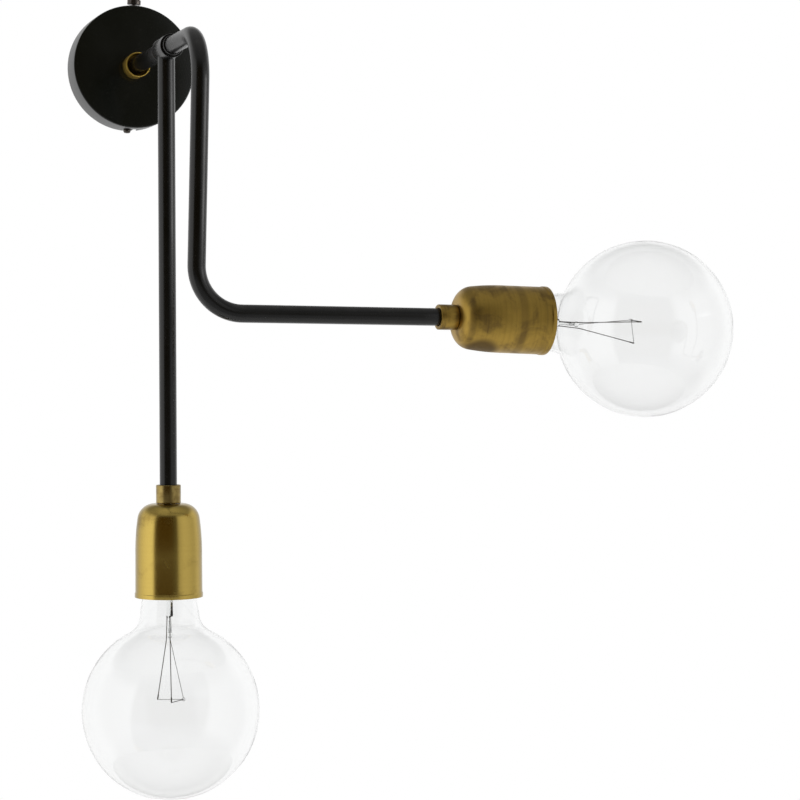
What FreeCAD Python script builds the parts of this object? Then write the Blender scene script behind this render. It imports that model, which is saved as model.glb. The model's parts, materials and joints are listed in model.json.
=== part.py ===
import FreeCAD, Part
import math
import os

# Two-arm swivel wall lamp, in millimetres.
# The wall is the plane Y = 0, the lamp stands out along -Y, and +Z is up.
# The origin is the centre of the canopy's back. A distance "off the wall" is measured along -Y.

# Canopy: a spun cup with a bayonet slot for each side screw
canopy_radius = 45.0
canopy_depth = 25.0
canopy_wall = 1.2
canopy_edge_radius = 1.0
slot_clearance = 0.2
slot_run = 6.8

# Wall strap with two threaded tabs for the side screws
strap_width = 22.0
strap_thickness = 2.0
strap_end_clearance = 0.5
strap_cable_radius = 6.0
wall_hole_radius = 2.6
wall_hole_circle = 66.0
tab_width = 12.0
tab_depth = 16.0
tab_wall_clearance = 0.8

# Side screws: their line is turned clockwise from the vertical
rim_screw_turn_deg = 3.5
rim_screw_off_wall = 10.5
rim_screw_radius = 2.0
rim_screw_length_inside = 7.0
thread_clearance = 0.05
upper_head_radius = 5.0
upper_head_height = 3.7
upper_head_lift = 2.8
lower_head_radius = 2.7
lower_head_height = 2.6
lower_head_lift = 0.1
driver_slot_width = 1.0
driver_slot_depth = 1.2
head_edge_radius = 0.9

# Earth screw on the strap
earth_screw_radius = 1.9
earth_screw_place = 19.0
earth_head_radius = 3.6
earth_head_height = 2.4
earth_screw_reach = 1.4

# Threaded nipples, nuts and the toothed washer
nipple_radius = 4.9
nipple_bore = 3.0
nipple_hole_clearance = 0.2
nut_sides = 6
nut_across_flats = 14.0
nut_height = 3.2
nut_chamfer = 0.5
washer_thickness = 0.6
washer_radius = 8.0
washer_teeth = 12
washer_notch = 1.1
canopy_nipple_inside = 11.0
canopy_nipple_outside = 15.0

# Brass collar round the foot of the stem
base_collar_radius = 9.0
base_collar_bore = 8.2
base_collar_height = 13.0
base_collar_floor = 2.0
base_collar_chamfer = 0.3

# Tubes of the stem and both arms
tube_radius = 6.0
tube_wall = 1.0
spigot_clearance = 0.1
running_clearance = 0.07

# Tee collar: a turned sleeve in which both arms' pivots are held, measured from the straight arm's line
tee_radius = 8.3
tee_off_wall = 125.0
tee_back_reach = 9.0
tee_front_reach = 17.5
tee_lip = 2.5
tee_wall = 1.0
tee_chamfer = 0.4
tee_branch_bore = 2.95
weld_gap = 0.03

# Flanges on the stem and on the bent arm, with their snap rings and friction washers
flange_thickness = 1.8
spigot_length = 10.0
friction_washer_thickness = 0.45
ring_thickness = 1.0
ring_groove_play = 0.1
ring_groove_depth = 0.4
ring_bite = 0.3
ring_inner_clearance = 0.35
ring_gap_deg = 28.0
axial_play = 0.05
cover_ring_gap = 0.4
cover_ring_seat = 1.3
cover_ring_proud = 3.5
cover_ring_edge = 0.4

# Straight arm: the distance from the stem's line down to the holder cup's top
straight_cup_drop = 315.6

# Bent arm: plane, drop and reach, and the small angles that it hangs at
bent_arm_off_wall = 223.8
bent_arm_drop = 184.9
bent_cup_reach = 181.4
upper_bend_radius = 33.0
lower_bend_radius = 31.0
bent_arm_rest_turn_deg = 1.45
level_run_lift_deg = 0.66
bent_cup_droop_deg = 1.2
straight_cup_droop_deg = 0.0
straight_bulb_play_deg = 0.6
bent_bulb_play_deg = 1.6

# Ferrule: the turned brass sleeve between an arm's tube and its holder cup
ferrule_radius = 8.6
ferrule_length = 12.8
ferrule_chamfer = 0.5
ferrule_tube_clearance = 0.1
tube_stop_above_cup = 5.0
cup_seat_gap = 0.25

# Holder cup, spun in brass; its length follows from the shell's seat
cup_wall = 0.8
cup_radius = 23.3
cup_lip_radius = 23.7
cup_lip_height = 3.6
cup_lip_blend = 0.9
cup_crown_radius_share = 0.49
cup_outline_depth_shares = (0.046, 0.16, 0.33, 0.55)
cup_outline_radius_shares = (0.768, 0.928, 0.976, 0.994)
cup_wall_lean_shares = (0.6, 0.25, 0.05, 0.0)

# Nipple in the holder's top
holder_nipple_above_cup = 19.0
holder_nipple_below_cup = 9.2
holder_bore_clearance = 0.3

# Porcelain holder body, measured from the cup's top, and from its mouth where the name says so
shell_seat = 28.5
shell_seat_from_mouth = 36.5
holder_top = 4.4
holder_neck_radius = 10.0
holder_shoulder_start = 8.2
holder_shoulder_radius = 14.0
holder_shoulder_end = 13.0
holder_radius = 19.0
holder_end_before_flare = 2.5
holder_wire_bore = 3.5
holder_chamber_radius = 10.2
holder_chamber_depth = 9.5
shell_bore_clearance = 0.15

# Screw shell and contacts in the holder
shell_radius = 13.9
shell_wall = 0.3
shell_floor_bore = 8.2
shell_proud = 0.8
contact_thickness = 0.5
contact_width = 5.0
contact_foot_reach = 9.4
contact_tongue_clearance = 0.3
contact_tongue_reach = 4.2
contact_riser_place = 4.4
terminal_screw_place = 7.0
terminal_screw_radius = 1.3
terminal_screw_length = 6.5
terminal_head_radius = 1.8
terminal_head_height = 1.5

# Screw-base globe bulb, measured from the tip of its centre contact
bulb_tip_past_shell_seat = 0.5
bent_bulb_deeper = 3.0
bulb_length = 177.6
globe_radius = 61.9
glass_wall = 0.8
glass_base_radius = 12.4
glass_base_start = 23.5
glass_base_end = 27.0
neck_height = 36.0
neck_radius = 18.75
neck_taper_deg = 8.0
neck_fillet_radius = 13.0
flare_mid_height = 30.6
flare_mid_radius = 16.6
cap_radius = 13.1
cap_wall = 0.3
cap_height = 26.5
cap_floor = 5.6
cap_floor_bore = 8.0
cap_rim_height = 1.2
cap_rim_flare = 0.25
insulator_gap = 0.1
insulator_tip_radius = 5.2
insulator_base_radius = 10.8
insulator_plug_height = 1.8
cap_contact_radius = 4.6
cap_contact_height = 1.1
cap_contact_crown = 0.5

# Glass mount, lead wires, support and filament in the bulb
mount_gap = 0.1
mount_base = 25.0
mount_pinch_radius = 3.2
mount_flare_end = 39.0
mount_flare_mid_height = 29.5
mount_flare_mid_radius = 5.6
mount_hollow_end = 36.0
mount_pinch_end = 50.0
mount_rod_radius = 1.2
button_height = 63.5
button_radius = 2.0
wire_radius = 0.4
wire_side_deg = 60.0
straight_wire_turn_deg = -18.6
bent_wire_turn_deg = -55.0
wire_start_radius = 2.0
wire_start_gap = 0.1
wire_knee_height = 66.5
wire_knee_radius = 2.8
wire_tip_radius = 10.5
wire_tip_below_centre = 7.0
wire_bend_radius = 8.0
support_radius = 0.25
support_tip_below_centre = 6.5
support_loop_radius = 1.1
filament_radius = 0.2
filament_lift = 0.35
filament_bend_radius = 0.3

# Sleeved leads
lead_radius = 2.7
lead_gap = 0.5
stem_lead_end_before_arm = 4.0
lead_end_clearance = 3.0
core_radius = 0.75
core_spacing = 1.7
core_bend_radius = 4.2
sheath_end_off_wall = 12.2

# Terminal block on the strap
block_width = 15.0
block_length = 18.0
block_base_height = 7.0
block_tower_height = 4.0
block_tower_width = 4.2
block_pole_spacing = 4.8
block_start = 10.0
block_edge_radius = 0.6
block_wire_bore = 1.3
block_wire_off_strap = 4.4
block_screw_radius = 1.2
block_screw_depth = 5.2
block_screw_sink = 0.6
block_screw_inset = 4.2

ORIGIN = FreeCAD.Vector(0, 0, 0)
X_AXIS = FreeCAD.Vector(1, 0, 0)
Y_AXIS = FreeCAD.Vector(0, 1, 0)
Z_AXIS = FreeCAD.Vector(0, 0, 1)
FULL_TURN = 360
QUARTER_TURN = 90
HALF_TURN = 180

# Sizes that follow from the ones above
tee_bore = tee_radius - tee_wall
flange_radius = tee_bore - running_clearance
tube_bore = tube_radius - tube_wall
spigot_radius = tube_bore - spigot_clearance
tee_back = tee_off_wall - tee_back_reach
tee_front = tee_off_wall + tee_front_reach
stem_end = tee_back + tee_lip + friction_washer_thickness + axial_play
stem_ring_start = stem_end + flange_thickness + axial_play
cover_ring_start = tee_front - cover_ring_seat
front_ring_start = cover_ring_start - 2 * axial_play - ring_thickness
bent_tube_start = front_ring_start - axial_play
bent_flange_start = bent_tube_start - flange_thickness
middle_ring_start = bent_flange_start - axial_play - friction_washer_thickness - ring_thickness
tab_outer = canopy_radius - canopy_wall - tab_wall_clearance
cup_length = shell_seat + shell_seat_from_mouth
straight_bulb_seat = shell_seat + bulb_tip_past_shell_seat
bent_bulb_seat = straight_bulb_seat - bent_bulb_deeper
holder_end = bent_bulb_seat + glass_base_end - holder_end_before_flare
holder_chamber_start = shell_seat - holder_chamber_depth
lead_end_below_cup = holder_chamber_start - lead_end_clearance
stem_lead_end_off_wall = tee_off_wall - stem_lead_end_before_arm
globe_height = bulb_length - globe_radius


# Helpers: every turned piece is drawn as (radius, height) points and spun about Z.


def at(radius, height):
    return FreeCAD.Vector(radius, 0, height)


def straight(start, end):
    return Part.makeLine(at(*start), at(*end))


def curve(start, middle, end):
    return Part.Arc(at(*start), at(*middle), at(*end)).toShape()


def spun_edges(edges):
    face = Part.Face(Part.Wire(edges))
    return face.revolve(ORIGIN, Z_AXIS, FULL_TURN)


def spun(outline):
    closed = list(outline) + [outline[0]]
    return spun_edges([straight(a, b) for a, b in zip(closed, closed[1:])])


def sleeve(outer, inner, start, end):
    return spun([(inner, start), (outer, start), (outer, end), (inner, end)])


def rod(radius, start, end):
    return Part.makeCylinder(radius, end - start, FreeCAD.Vector(0, 0, start))


def bar(x_size, y_size, z_size, centre_x, centre_y, low_z):
    corner = FreeCAD.Vector(centre_x - x_size / 2, centre_y - y_size / 2, low_z)
    return Part.makeBox(x_size, y_size, z_size, corner)


def turned(shape, axis, degrees, centre=ORIGIN):
    copy = shape.copy()
    copy.rotate(centre, axis, degrees)
    return copy


def moved(shape, x=0, y=0, z=0):
    copy = shape.copy()
    copy.translate(FreeCAD.Vector(x, y, z))
    return copy


def off_wall(shape):
    """Lays a piece drawn along Z onto the stem's line, with Z as the distance off the wall."""
    return turned(shape, X_AXIS, QUARTER_TURN)


def rounded_path(points, radii):
    """Straight runs through the points, with each corner rounded to its own radius."""
    edges = []
    start = points[0]
    for before, corner, after, radius in zip(points, points[1:], points[2:], radii):
        back = (before - corner).normalize()
        onward = (after - corner).normalize()
        half = back.getAngle(onward) / 2
        reach = radius / math.tan(half)
        inside = (back + onward).normalize()
        middle = corner + inside * (radius / math.sin(half) - radius)
        bend_start = corner + back * reach
        bend_end = corner + onward * reach
        edges.append(Part.makeLine(start, bend_start))
        edges.append(Part.Arc(bend_start, middle, bend_end).toShape())
        start = bend_end
    edges.append(Part.makeLine(start, points[-1]))
    return Part.Wire(edges)


def swept(path, radius):
    """A round rod that follows a path."""
    first = path.Edges[0]
    heading = first.tangentAt(first.FirstParameter)
    ring = Part.Wire(Part.makeCircle(radius, first.valueAt(first.FirstParameter), heading))
    return path.makePipeShell([ring], True, False)


def hex_nut(start, bore):
    """A nut with flat sides and its corners turned down, standing on the height given."""
    side_deg = FULL_TURN / nut_sides
    corner_radius = nut_across_flats / 2 / math.cos(math.radians(side_deg / 2))
    corner = Part.Vertex(corner_radius, 0, start)
    corners = [turned(corner, Z_AXIS, side_deg * side).Point for side in range(nut_sides)]
    corners.append(corners[0])
    prism = Part.Face(Part.makePolygon(corners)).extrude(Z_AXIS * nut_height)
    blank = spun([
        (bore, start),
        (corner_radius - nut_chamfer, start),
        (corner_radius, start + nut_chamfer),
        (corner_radius, start + nut_height - nut_chamfer),
        (corner_radius - nut_chamfer, start + nut_height),
        (bore, start + nut_height),
    ])
    return prism.common(blank)


# Pieces at the wall


def make_canopy():
    """A spun cup, open at the wall, with a bayonet slot in its rim for each side screw."""
    edge = canopy_edge_radius
    lean = edge * (1 - math.sqrt(0.5))
    inner = canopy_radius - canopy_wall
    hole = nipple_radius + nipple_hole_clearance
    floor = canopy_depth - canopy_wall
    cup = spun_edges([
        straight((hole, floor), (inner, floor)),
        straight((inner, floor), (inner, 0)),
        straight((inner, 0), (canopy_radius, 0)),
        straight((canopy_radius, 0), (canopy_radius, canopy_depth - edge)),
        curve(
            (canopy_radius, canopy_depth - edge),
            (canopy_radius - lean, canopy_depth - lean),
            (canopy_radius - edge, canopy_depth),
        ),
        straight((canopy_radius - edge, canopy_depth), (hole, canopy_depth)),
        straight((hole, canopy_depth), (hole, floor)),
    ])
    slot_half = rim_screw_radius + slot_clearance
    run_deg = math.degrees(slot_run / canopy_radius)
    reach = canopy_radius + canopy_wall
    run_face = Part.makePlane(
        reach - tab_outer, 2 * slot_half, at(tab_outer, rim_screw_off_wall - slot_half), -Y_AXIS, X_AXIS
    )
    run = run_face.revolve(ORIGIN, Z_AXIS, run_deg)
    seat = turned(rod(slot_half, tab_outer, reach), Y_AXIS, QUARTER_TURN)
    seat = moved(seat, z=rim_screw_off_wall)
    mouth = Part.makeBox(
        reach - tab_outer,
        2 * slot_half,
        rim_screw_off_wall + slot_half,
        FreeCAD.Vector(tab_outer, -slot_half, 0),
    )
    slot = run.fuse([seat, turned(mouth, Z_AXIS, run_deg)])
    for quarter_turns in (1, 3):
        angle = QUARTER_TURN * quarter_turns - rim_screw_turn_deg
        cup = cup.cut(turned(slot, Z_AXIS, angle))
    return off_wall(cup)


def make_wall_strap():
    """A flat strap with rounded ends, wall-screw holes, a cable hole and two tabs bent forward."""
    end_radius = canopy_radius - canopy_wall - strap_end_clearance
    strap = rod(end_radius, 0, strap_thickness)
    strap = strap.common(bar(strap_width, 2 * end_radius, strap_thickness, 0, 0, 0))
    for side in (1, -1):
        tab = bar(tab_width, strap_thickness, tab_depth, 0, side * (tab_outer - strap_thickness / 2), 0)
        strap = strap.fuse(tab)
    strap = strap.removeSplitter()
    tap = turned(rod(rim_screw_radius + thread_clearance, -end_radius, end_radius), X_AXIS, QUARTER_TURN)
    strap = strap.cut(moved(tap, z=rim_screw_off_wall))
    strap = strap.cut(rod(strap_cable_radius, 0, strap_thickness))
    for side in (1, -1):
        hole = rod(wall_hole_radius, 0, strap_thickness)
        strap = strap.cut(moved(hole, y=side * wall_hole_circle / 2))
    earth = rod(earth_screw_radius + thread_clearance, 0, strap_thickness)
    strap = strap.cut(moved(earth, y=-earth_screw_place))
    return off_wall(turned(strap, Z_AXIS, -rim_screw_turn_deg))


def slotted_screw(radius, start, seat, head_radius, head_height):
    """A screw along Z with a rounded, slotted head that stands on the height given as its seat."""
    top = seat + head_height
    edge = head_edge_radius
    lean = edge * (1 - math.sqrt(0.5))
    screw = spun_edges([
        straight((0, start), (radius, start)),
        straight((radius, start), (radius, seat)),
        straight((radius, seat), (head_radius, seat)),
        straight((head_radius, seat), (head_radius, top - edge)),
        curve((head_radius, top - edge), (head_radius - lean, top - lean), (head_radius - edge, top)),
        straight((head_radius - edge, top), (0, top)),
        straight((0, top), (0, start)),
    ])
    slot = bar(2 * head_radius, driver_slot_width, driver_slot_depth, 0, 0, top - driver_slot_depth)
    return screw.cut(slot)


def make_rim_screw(head_radius, head_height, lift, half_turns):
    start = tab_outer - rim_screw_length_inside
    screw = slotted_screw(rim_screw_radius, start, canopy_radius + lift, head_radius, head_height)
    screw = moved(turned(screw, X_AXIS, -QUARTER_TURN), z=rim_screw_off_wall)
    screw = turned(screw, Z_AXIS, HALF_TURN * half_turns - rim_screw_turn_deg)
    return off_wall(screw)


def make_earth_screw():
    screw = slotted_screw(
        earth_screw_radius, -earth_screw_reach, 0, earth_head_radius, earth_head_height
    )
    screw = moved(screw, y=-earth_screw_place, z=strap_thickness)
    return off_wall(turned(screw, Z_AXIS, -rim_screw_turn_deg))


def make_terminal_block():
    """A three-pole block: a base with a tower over each pole, wire bores and screw wells."""
    middle = block_start + block_length / 2
    block = bar(block_width, block_length, block_base_height, 0, middle, strap_thickness)
    for pole in (-1, 0, 1):
        tower = bar(
            block_tower_width,
            block_length,
            block_base_height + block_tower_height,
            pole * block_pole_spacing,
            middle,
            strap_thickness,
        )
        block = block.fuse(tower)
    block = block.removeSplitter()
    boxes = [(edge, edge.BoundBox) for edge in block.Edges]
    upright = [e for e, box in boxes if max(box.XLength, box.YLength) < block_edge_radius < box.ZLength]
    block = block.makeFillet(block_edge_radius, upright)
    top = strap_thickness + block_base_height + block_tower_height
    for pole in (-1, 0, 1):
        x = pole * block_pole_spacing
        bore = turned(rod(block_wire_bore, block_start, block_start + block_length), X_AXIS, -QUARTER_TURN)
        block = block.cut(moved(bore, x=x, z=strap_thickness + block_wire_off_strap))
        for end in (-1, 1):
            y = middle + end * (block_length / 2 - block_screw_inset)
            well = rod(block_screw_radius + thread_clearance, top - block_screw_sink - block_screw_depth, top)
            block = block.cut(moved(well, x=x, y=y))
    return off_wall(turned(block, Z_AXIS, -rim_screw_turn_deg))


def make_block_screws():
    middle = block_start + block_length / 2
    top = strap_thickness + block_base_height + block_tower_height - block_screw_sink
    screws = []
    for pole in (-1, 0, 1):
        for end in (-1, 1):
            screw = rod(block_screw_radius, top - block_screw_depth, top)
            sink = block_screw_sink
            slot = bar(2 * block_screw_radius, sink, sink, 0, 0, top - sink)
            y = middle + end * (block_length / 2 - block_screw_inset)
            screws.append(moved(screw.cut(slot), x=pole * block_pole_spacing, y=y))
    return off_wall(turned(Part.makeCompound(screws), Z_AXIS, -rim_screw_turn_deg))


def make_canopy_nipple():
    start = canopy_depth - canopy_nipple_inside
    return off_wall(sleeve(nipple_radius, nipple_bore, start, canopy_depth + canopy_nipple_outside))


def make_tooth_washer():
    top = canopy_depth - canopy_wall
    bottom = top - washer_thickness
    washer = sleeve(washer_radius, nipple_radius + thread_clearance, bottom, top)
    notch = bar(2 * washer_notch, washer_notch, washer_thickness, washer_radius, 0, bottom)
    for tooth in range(washer_teeth):
        washer = washer.cut(turned(notch, Z_AXIS, FULL_TURN * tooth / washer_teeth))
    return off_wall(washer)


def make_canopy_nut():
    start = canopy_depth - canopy_wall - washer_thickness - nut_height
    return off_wall(hex_nut(start, nipple_radius + thread_clearance))


def make_base_collar():
    """The brass cup in which the stem's foot stands, with an open ring round the tube."""
    top = canopy_depth + base_collar_height
    chamfer = base_collar_chamfer
    hole = nipple_radius + thread_clearance
    floor = canopy_depth + base_collar_floor
    return off_wall(spun([
        (hole, canopy_depth),
        (base_collar_radius, canopy_depth),
        (base_collar_radius, top - chamfer),
        (base_collar_radius - chamfer, top),
        (base_collar_bore + chamfer, top),
        (base_collar_bore, top - chamfer),
        (base_collar_bore, floor),
        (hole, floor),
    ]))


def make_stem_tube():
    return off_wall(sleeve(tube_radius, tube_bore, canopy_depth + base_collar_floor, stem_end))


def make_stem_flange():
    """The turned head on the stem's end, which the tee collar is held by."""
    return off_wall(spun([
        (nipple_bore, stem_end - spigot_length),
        (spigot_radius, stem_end - spigot_length),
        (spigot_radius, stem_end),
        (flange_radius, stem_end),
        (flange_radius, stem_end + flange_thickness),
        (nipple_bore, stem_end + flange_thickness),
    ]))


def make_stem_lead():
    """The sheathed lead in the stem, and its three cores that bend over to the terminal block."""
    sheath = rod(lead_radius, sheath_end_off_wall, stem_lead_end_off_wall)
    wire_height = strap_thickness + block_wire_off_strap
    cores = []
    for pole in (-1, 0, 1):
        start = FreeCAD.Vector(pole * core_spacing, 0, sheath_end_off_wall)
        corner = FreeCAD.Vector(start.x, 0, wire_height)
        end = FreeCAD.Vector(pole * block_pole_spacing, block_start, wire_height)
        cores.append(swept(rounded_path([start, corner, end], [core_bend_radius]), core_radius))
    lead = Part.makeCompound([sheath] + cores)
    return off_wall(turned(lead, Z_AXIS, -rim_screw_turn_deg))


# Pieces of the swivel


def make_tee_collar():
    """A turned sleeve with a rear lip, three ring grooves, and a hole below for the straight arm."""
    chamfer = tee_chamfer
    groove = tee_bore + ring_groove_depth
    outline = [
        (tube_radius + running_clearance, tee_back),
        (tee_radius - chamfer, tee_back),
        (tee_radius, tee_back + chamfer),
        (tee_radius, tee_front - chamfer),
        (tee_radius - chamfer, tee_front),
        (tee_bore, tee_front),
    ]
    for start in (front_ring_start, middle_ring_start, stem_ring_start):
        low = start - ring_groove_play / 2
        high = start + ring_thickness + ring_groove_play / 2
        outline += [(tee_bore, high), (groove, high), (groove, low), (tee_bore, low)]
    outline += [(tee_bore, tee_back + tee_lip), (tube_radius + running_clearance, tee_back + tee_lip)]
    collar = spun(outline)
    branch = turned(rod(tee_branch_bore, 0, tee_radius + tee_wall), X_AXIS, QUARTER_TURN)
    return off_wall(collar.cut(moved(branch, z=tee_off_wall)))


def snap_ring(start, side_deg):
    """A spring ring with its ends apart, sprung into a groove of the tee collar."""
    ring = sleeve(
        tee_bore + ring_bite, tube_radius + ring_inner_clearance, start, start + ring_thickness
    )
    gap_face = Part.makePlane(2 * tee_radius, ring_thickness, at(0, start), -Y_AXIS, X_AXIS)
    gap = gap_face.revolve(ORIGIN, Z_AXIS, ring_gap_deg)
    return ring.cut(turned(gap, Z_AXIS, side_deg))


def make_snap_rings():
    starts = (stem_ring_start, middle_ring_start, front_ring_start)
    rings = [snap_ring(start, HALF_TURN + QUARTER_TURN * place) for place, start in enumerate(starts)]
    return off_wall(Part.makeCompound(rings))


def friction_washer(start):
    outer = flange_radius - ring_groove_play
    inner = tube_radius + ring_inner_clearance
    return off_wall(sleeve(outer, inner, start, start + friction_washer_thickness))


def make_rear_friction_washer():
    return friction_washer(tee_back + tee_lip)


def make_front_friction_washer():
    return friction_washer(middle_ring_start + ring_thickness)


def make_cover_ring():
    """The ring pressed onto the bent arm's tube, which fills the collar's mouth but for a thin gap."""
    inner = tube_radius + weld_gap
    outer = tee_bore - cover_ring_gap
    end = tee_front + cover_ring_proud
    edge = cover_ring_edge
    lean = edge * (1 - math.sqrt(0.5))
    return bent_arm_turn(off_wall(spun_edges([
        straight((inner, cover_ring_start), (outer, cover_ring_start)),
        straight((outer, cover_ring_start), (outer, end - edge)),
        curve((outer, end - edge), (outer - lean, end - lean), (outer - edge, end)),
        straight((outer - edge, end), (inner, end)),
        straight((inner, end), (inner, cover_ring_start)),
    ])))


def make_bent_arm_flange():
    """The turned head on the bent arm's tube, held between the two front snap rings."""
    return bent_arm_turn(off_wall(spun([
        (nipple_bore, bent_flange_start),
        (flange_radius, bent_flange_start),
        (flange_radius, bent_tube_start),
        (spigot_radius, bent_tube_start),
        (spigot_radius, bent_tube_start + spigot_length),
        (nipple_bore, bent_tube_start + spigot_length),
    ])))


# Arms


def bent_arm_turn(shape):
    return turned(shape, Y_AXIS, bent_arm_rest_turn_deg)


def make_straight_arm_tube():
    """A plain tube, its top coped to the tee collar's round side."""
    tube = sleeve(tube_radius, tube_bore, 0, straight_cup_drop - tube_stop_above_cup)
    tube = moved(turned(tube, Y_AXIS, HALF_TURN), y=-tee_off_wall)
    return tube.cut(off_wall(rod(tee_radius + weld_gap, tee_back, tee_front)))


def on_level_run(reach):
    """The point of the bent arm's nearly level run at a reach from the drop's line."""
    run = Part.Vertex(reach, -bent_arm_off_wall, -bent_arm_drop)
    return turned(run, Y_AXIS, -level_run_lift_deg, FreeCAD.Vector(0, 0, -bent_arm_drop)).Point


def bent_arm_path(start_off_wall, end_reach):
    points = [
        FreeCAD.Vector(0, -start_off_wall, 0),
        FreeCAD.Vector(0, -bent_arm_off_wall, 0),
        FreeCAD.Vector(0, -bent_arm_off_wall, -bent_arm_drop),
        on_level_run(end_reach),
    ]
    return rounded_path(points, [upper_bend_radius, lower_bend_radius])


def make_bent_arm_tube():
    """One tube bent twice: out from the collar, down, and level to the side."""
    path = bent_arm_path(bent_tube_start, bent_cup_reach - tube_stop_above_cup)
    return bent_arm_turn(swept(path, tube_radius).cut(swept(path, tube_bore)))


def make_straight_lead():
    start = lead_radius + lead_gap
    lead = rod(lead_radius, start, straight_cup_drop + lead_end_below_cup)
    return moved(turned(lead, Y_AXIS, HALF_TURN), y=-tee_off_wall)


def make_bent_lead():
    path = bent_arm_path(stem_lead_end_off_wall + lead_gap, bent_cup_reach + lead_end_below_cup)
    return bent_arm_turn(swept(path, lead_radius))


# Lamp holder: drawn along Z with its height measured from the top of the brass cup.


def make_ferrule():
    lower_bore = nipple_radius + thread_clearance
    upper_bore = tube_radius + ferrule_tube_clearance
    chamfer = ferrule_chamfer
    return spun([
        (lower_bore, 0),
        (ferrule_radius - chamfer, 0),
        (ferrule_radius, -chamfer),
        (ferrule_radius, chamfer - ferrule_length),
        (ferrule_radius - chamfer, -ferrule_length),
        (upper_bore, -ferrule_length),
        (upper_bore, -tube_stop_above_cup),
        (lower_bore, -tube_stop_above_cup),
    ])


def make_holder_nipple():
    return sleeve(nipple_radius, nipple_bore, -holder_nipple_above_cup, holder_nipple_below_cup)


def cup_side(inset):
    """The cup's side from its crown to its mouth, moved inwards by a wall."""
    lip_start = cup_length - cup_lip_height
    points = [(cup_crown_radius_share * cup_radius, inset)]
    shares = zip(cup_outline_depth_shares, cup_outline_radius_shares, cup_wall_lean_shares)
    for depth_share, radius_share, lean_share in shares:
        height = depth_share * cup_length + inset * lean_share
        points.append((radius_share * cup_radius - inset * (1 - lean_share), height))
    points.append((cup_radius - inset, lip_start))
    points.append((cup_lip_radius - inset, lip_start + cup_lip_blend))
    points.append((cup_lip_radius - inset, cup_length))
    edges = [curve(points[0], points[1], points[2]), curve(points[2], points[3], points[4])]
    edges += [straight(a, b) for a, b in zip(points[4:], points[5:])]
    return edges, points[0], points[-1]


def make_holder_cup():
    """A spun brass cup: domed crown, long side and a plain lip round its mouth."""
    hole = nipple_radius + nipple_hole_clearance
    outer, outer_crown, outer_mouth = cup_side(0)
    inner, inner_crown, inner_mouth = cup_side(cup_wall)
    edges = [straight((hole, 0), outer_crown)] + outer
    edges += [straight(outer_mouth, inner_mouth)] + inner
    edges += [straight(inner_crown, (hole, cup_wall)), straight((hole, cup_wall), (hole, 0))]
    return spun_edges(Part.__sortEdges__(edges))


def make_lock_nut():
    return hex_nut(cup_wall, nipple_radius + holder_bore_clearance)


def make_holder_body():
    """The porcelain body, with a nipple socket, a contact chamber and a bore for the screw shell."""
    socket = nipple_radius + holder_bore_clearance
    socket_end = holder_nipple_below_cup + holder_bore_clearance
    shell_bore = shell_radius + shell_bore_clearance
    body = spun([
        (socket, holder_top),
        (holder_neck_radius, holder_top),
        (holder_neck_radius, holder_shoulder_start),
        (holder_shoulder_radius, holder_shoulder_start),
        (holder_radius, holder_shoulder_end),
        (holder_radius, holder_end),
        (shell_bore, holder_end),
        (shell_bore, shell_seat),
        (holder_chamber_radius, shell_seat),
        (holder_chamber_radius, holder_chamber_start),
        (holder_wire_bore, holder_chamber_start),
        (holder_wire_bore, socket_end),
        (socket, socket_end),
    ])
    for side in (1, -1):
        bottom = holder_chamber_start - terminal_screw_length
        hole = rod(terminal_screw_radius + thread_clearance, bottom, holder_chamber_start)
        body = body.cut(moved(hole, x=side * terminal_screw_place))
    return body


def make_screw_shell():
    top = holder_end + shell_proud
    inner = shell_radius - shell_wall
    return spun([
        (shell_floor_bore, shell_seat),
        (shell_radius, shell_seat),
        (shell_radius, top),
        (inner, top),
        (inner, shell_seat + shell_wall),
        (shell_floor_bore, shell_seat + shell_wall),
    ])


def contact_strip(points):
    """A bent flat spring, from a line of points drawn in the XZ plane."""
    face = Part.Face(Part.makePolygon([at(*p) for p in points + points[:1]]))
    strip = face.extrude(Y_AXIS * contact_width)
    strip = moved(strip, y=-contact_width / 2)
    return strip


def make_holder_contacts(bulb_seat):
    """The tongue that the bulb's tip presses on, and the strip that joins the shell to its screw."""
    floor = holder_chamber_start
    thick = contact_thickness
    tongue = bulb_seat - contact_tongue_clearance
    riser = contact_riser_place
    centre = contact_strip([
        (contact_foot_reach, floor),
        (riser, floor),
        (riser, tongue - thick),
        (-contact_tongue_reach, tongue - thick),
        (-contact_tongue_reach, tongue),
        (riser + thick, tongue),
        (riser + thick, floor + thick),
        (contact_foot_reach, floor + thick),
    ])
    side_top = shell_seat
    side = contact_strip([
        (-contact_foot_reach, floor),
        (-riser - thick, floor),
        (-riser - thick, floor + thick),
        (thick - contact_foot_reach, floor + thick),
        (thick - contact_foot_reach, side_top),
        (-contact_foot_reach, side_top),
    ])
    strips = []
    for side_sign, strip in ((1, centre), (-1, side)):
        hole = rod(terminal_screw_radius + thread_clearance, floor, floor + thick)
        strips.append(strip.cut(moved(hole, x=side_sign * terminal_screw_place)))
    return Part.makeCompound(strips)


def make_terminal_screws():
    seat = holder_chamber_start + contact_thickness
    start = holder_chamber_start - terminal_screw_length + contact_thickness
    screw = spun([
        (0, start),
        (terminal_screw_radius, start),
        (terminal_screw_radius, seat),
        (terminal_head_radius, seat),
        (terminal_head_radius, seat + terminal_head_height),
        (0, seat + terminal_head_height),
    ])
    place = terminal_screw_place
    return Part.makeCompound([moved(screw, x=place), moved(screw, x=-place)])


# Bulb: drawn along Z with its height measured from the tip of its centre contact.


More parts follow.
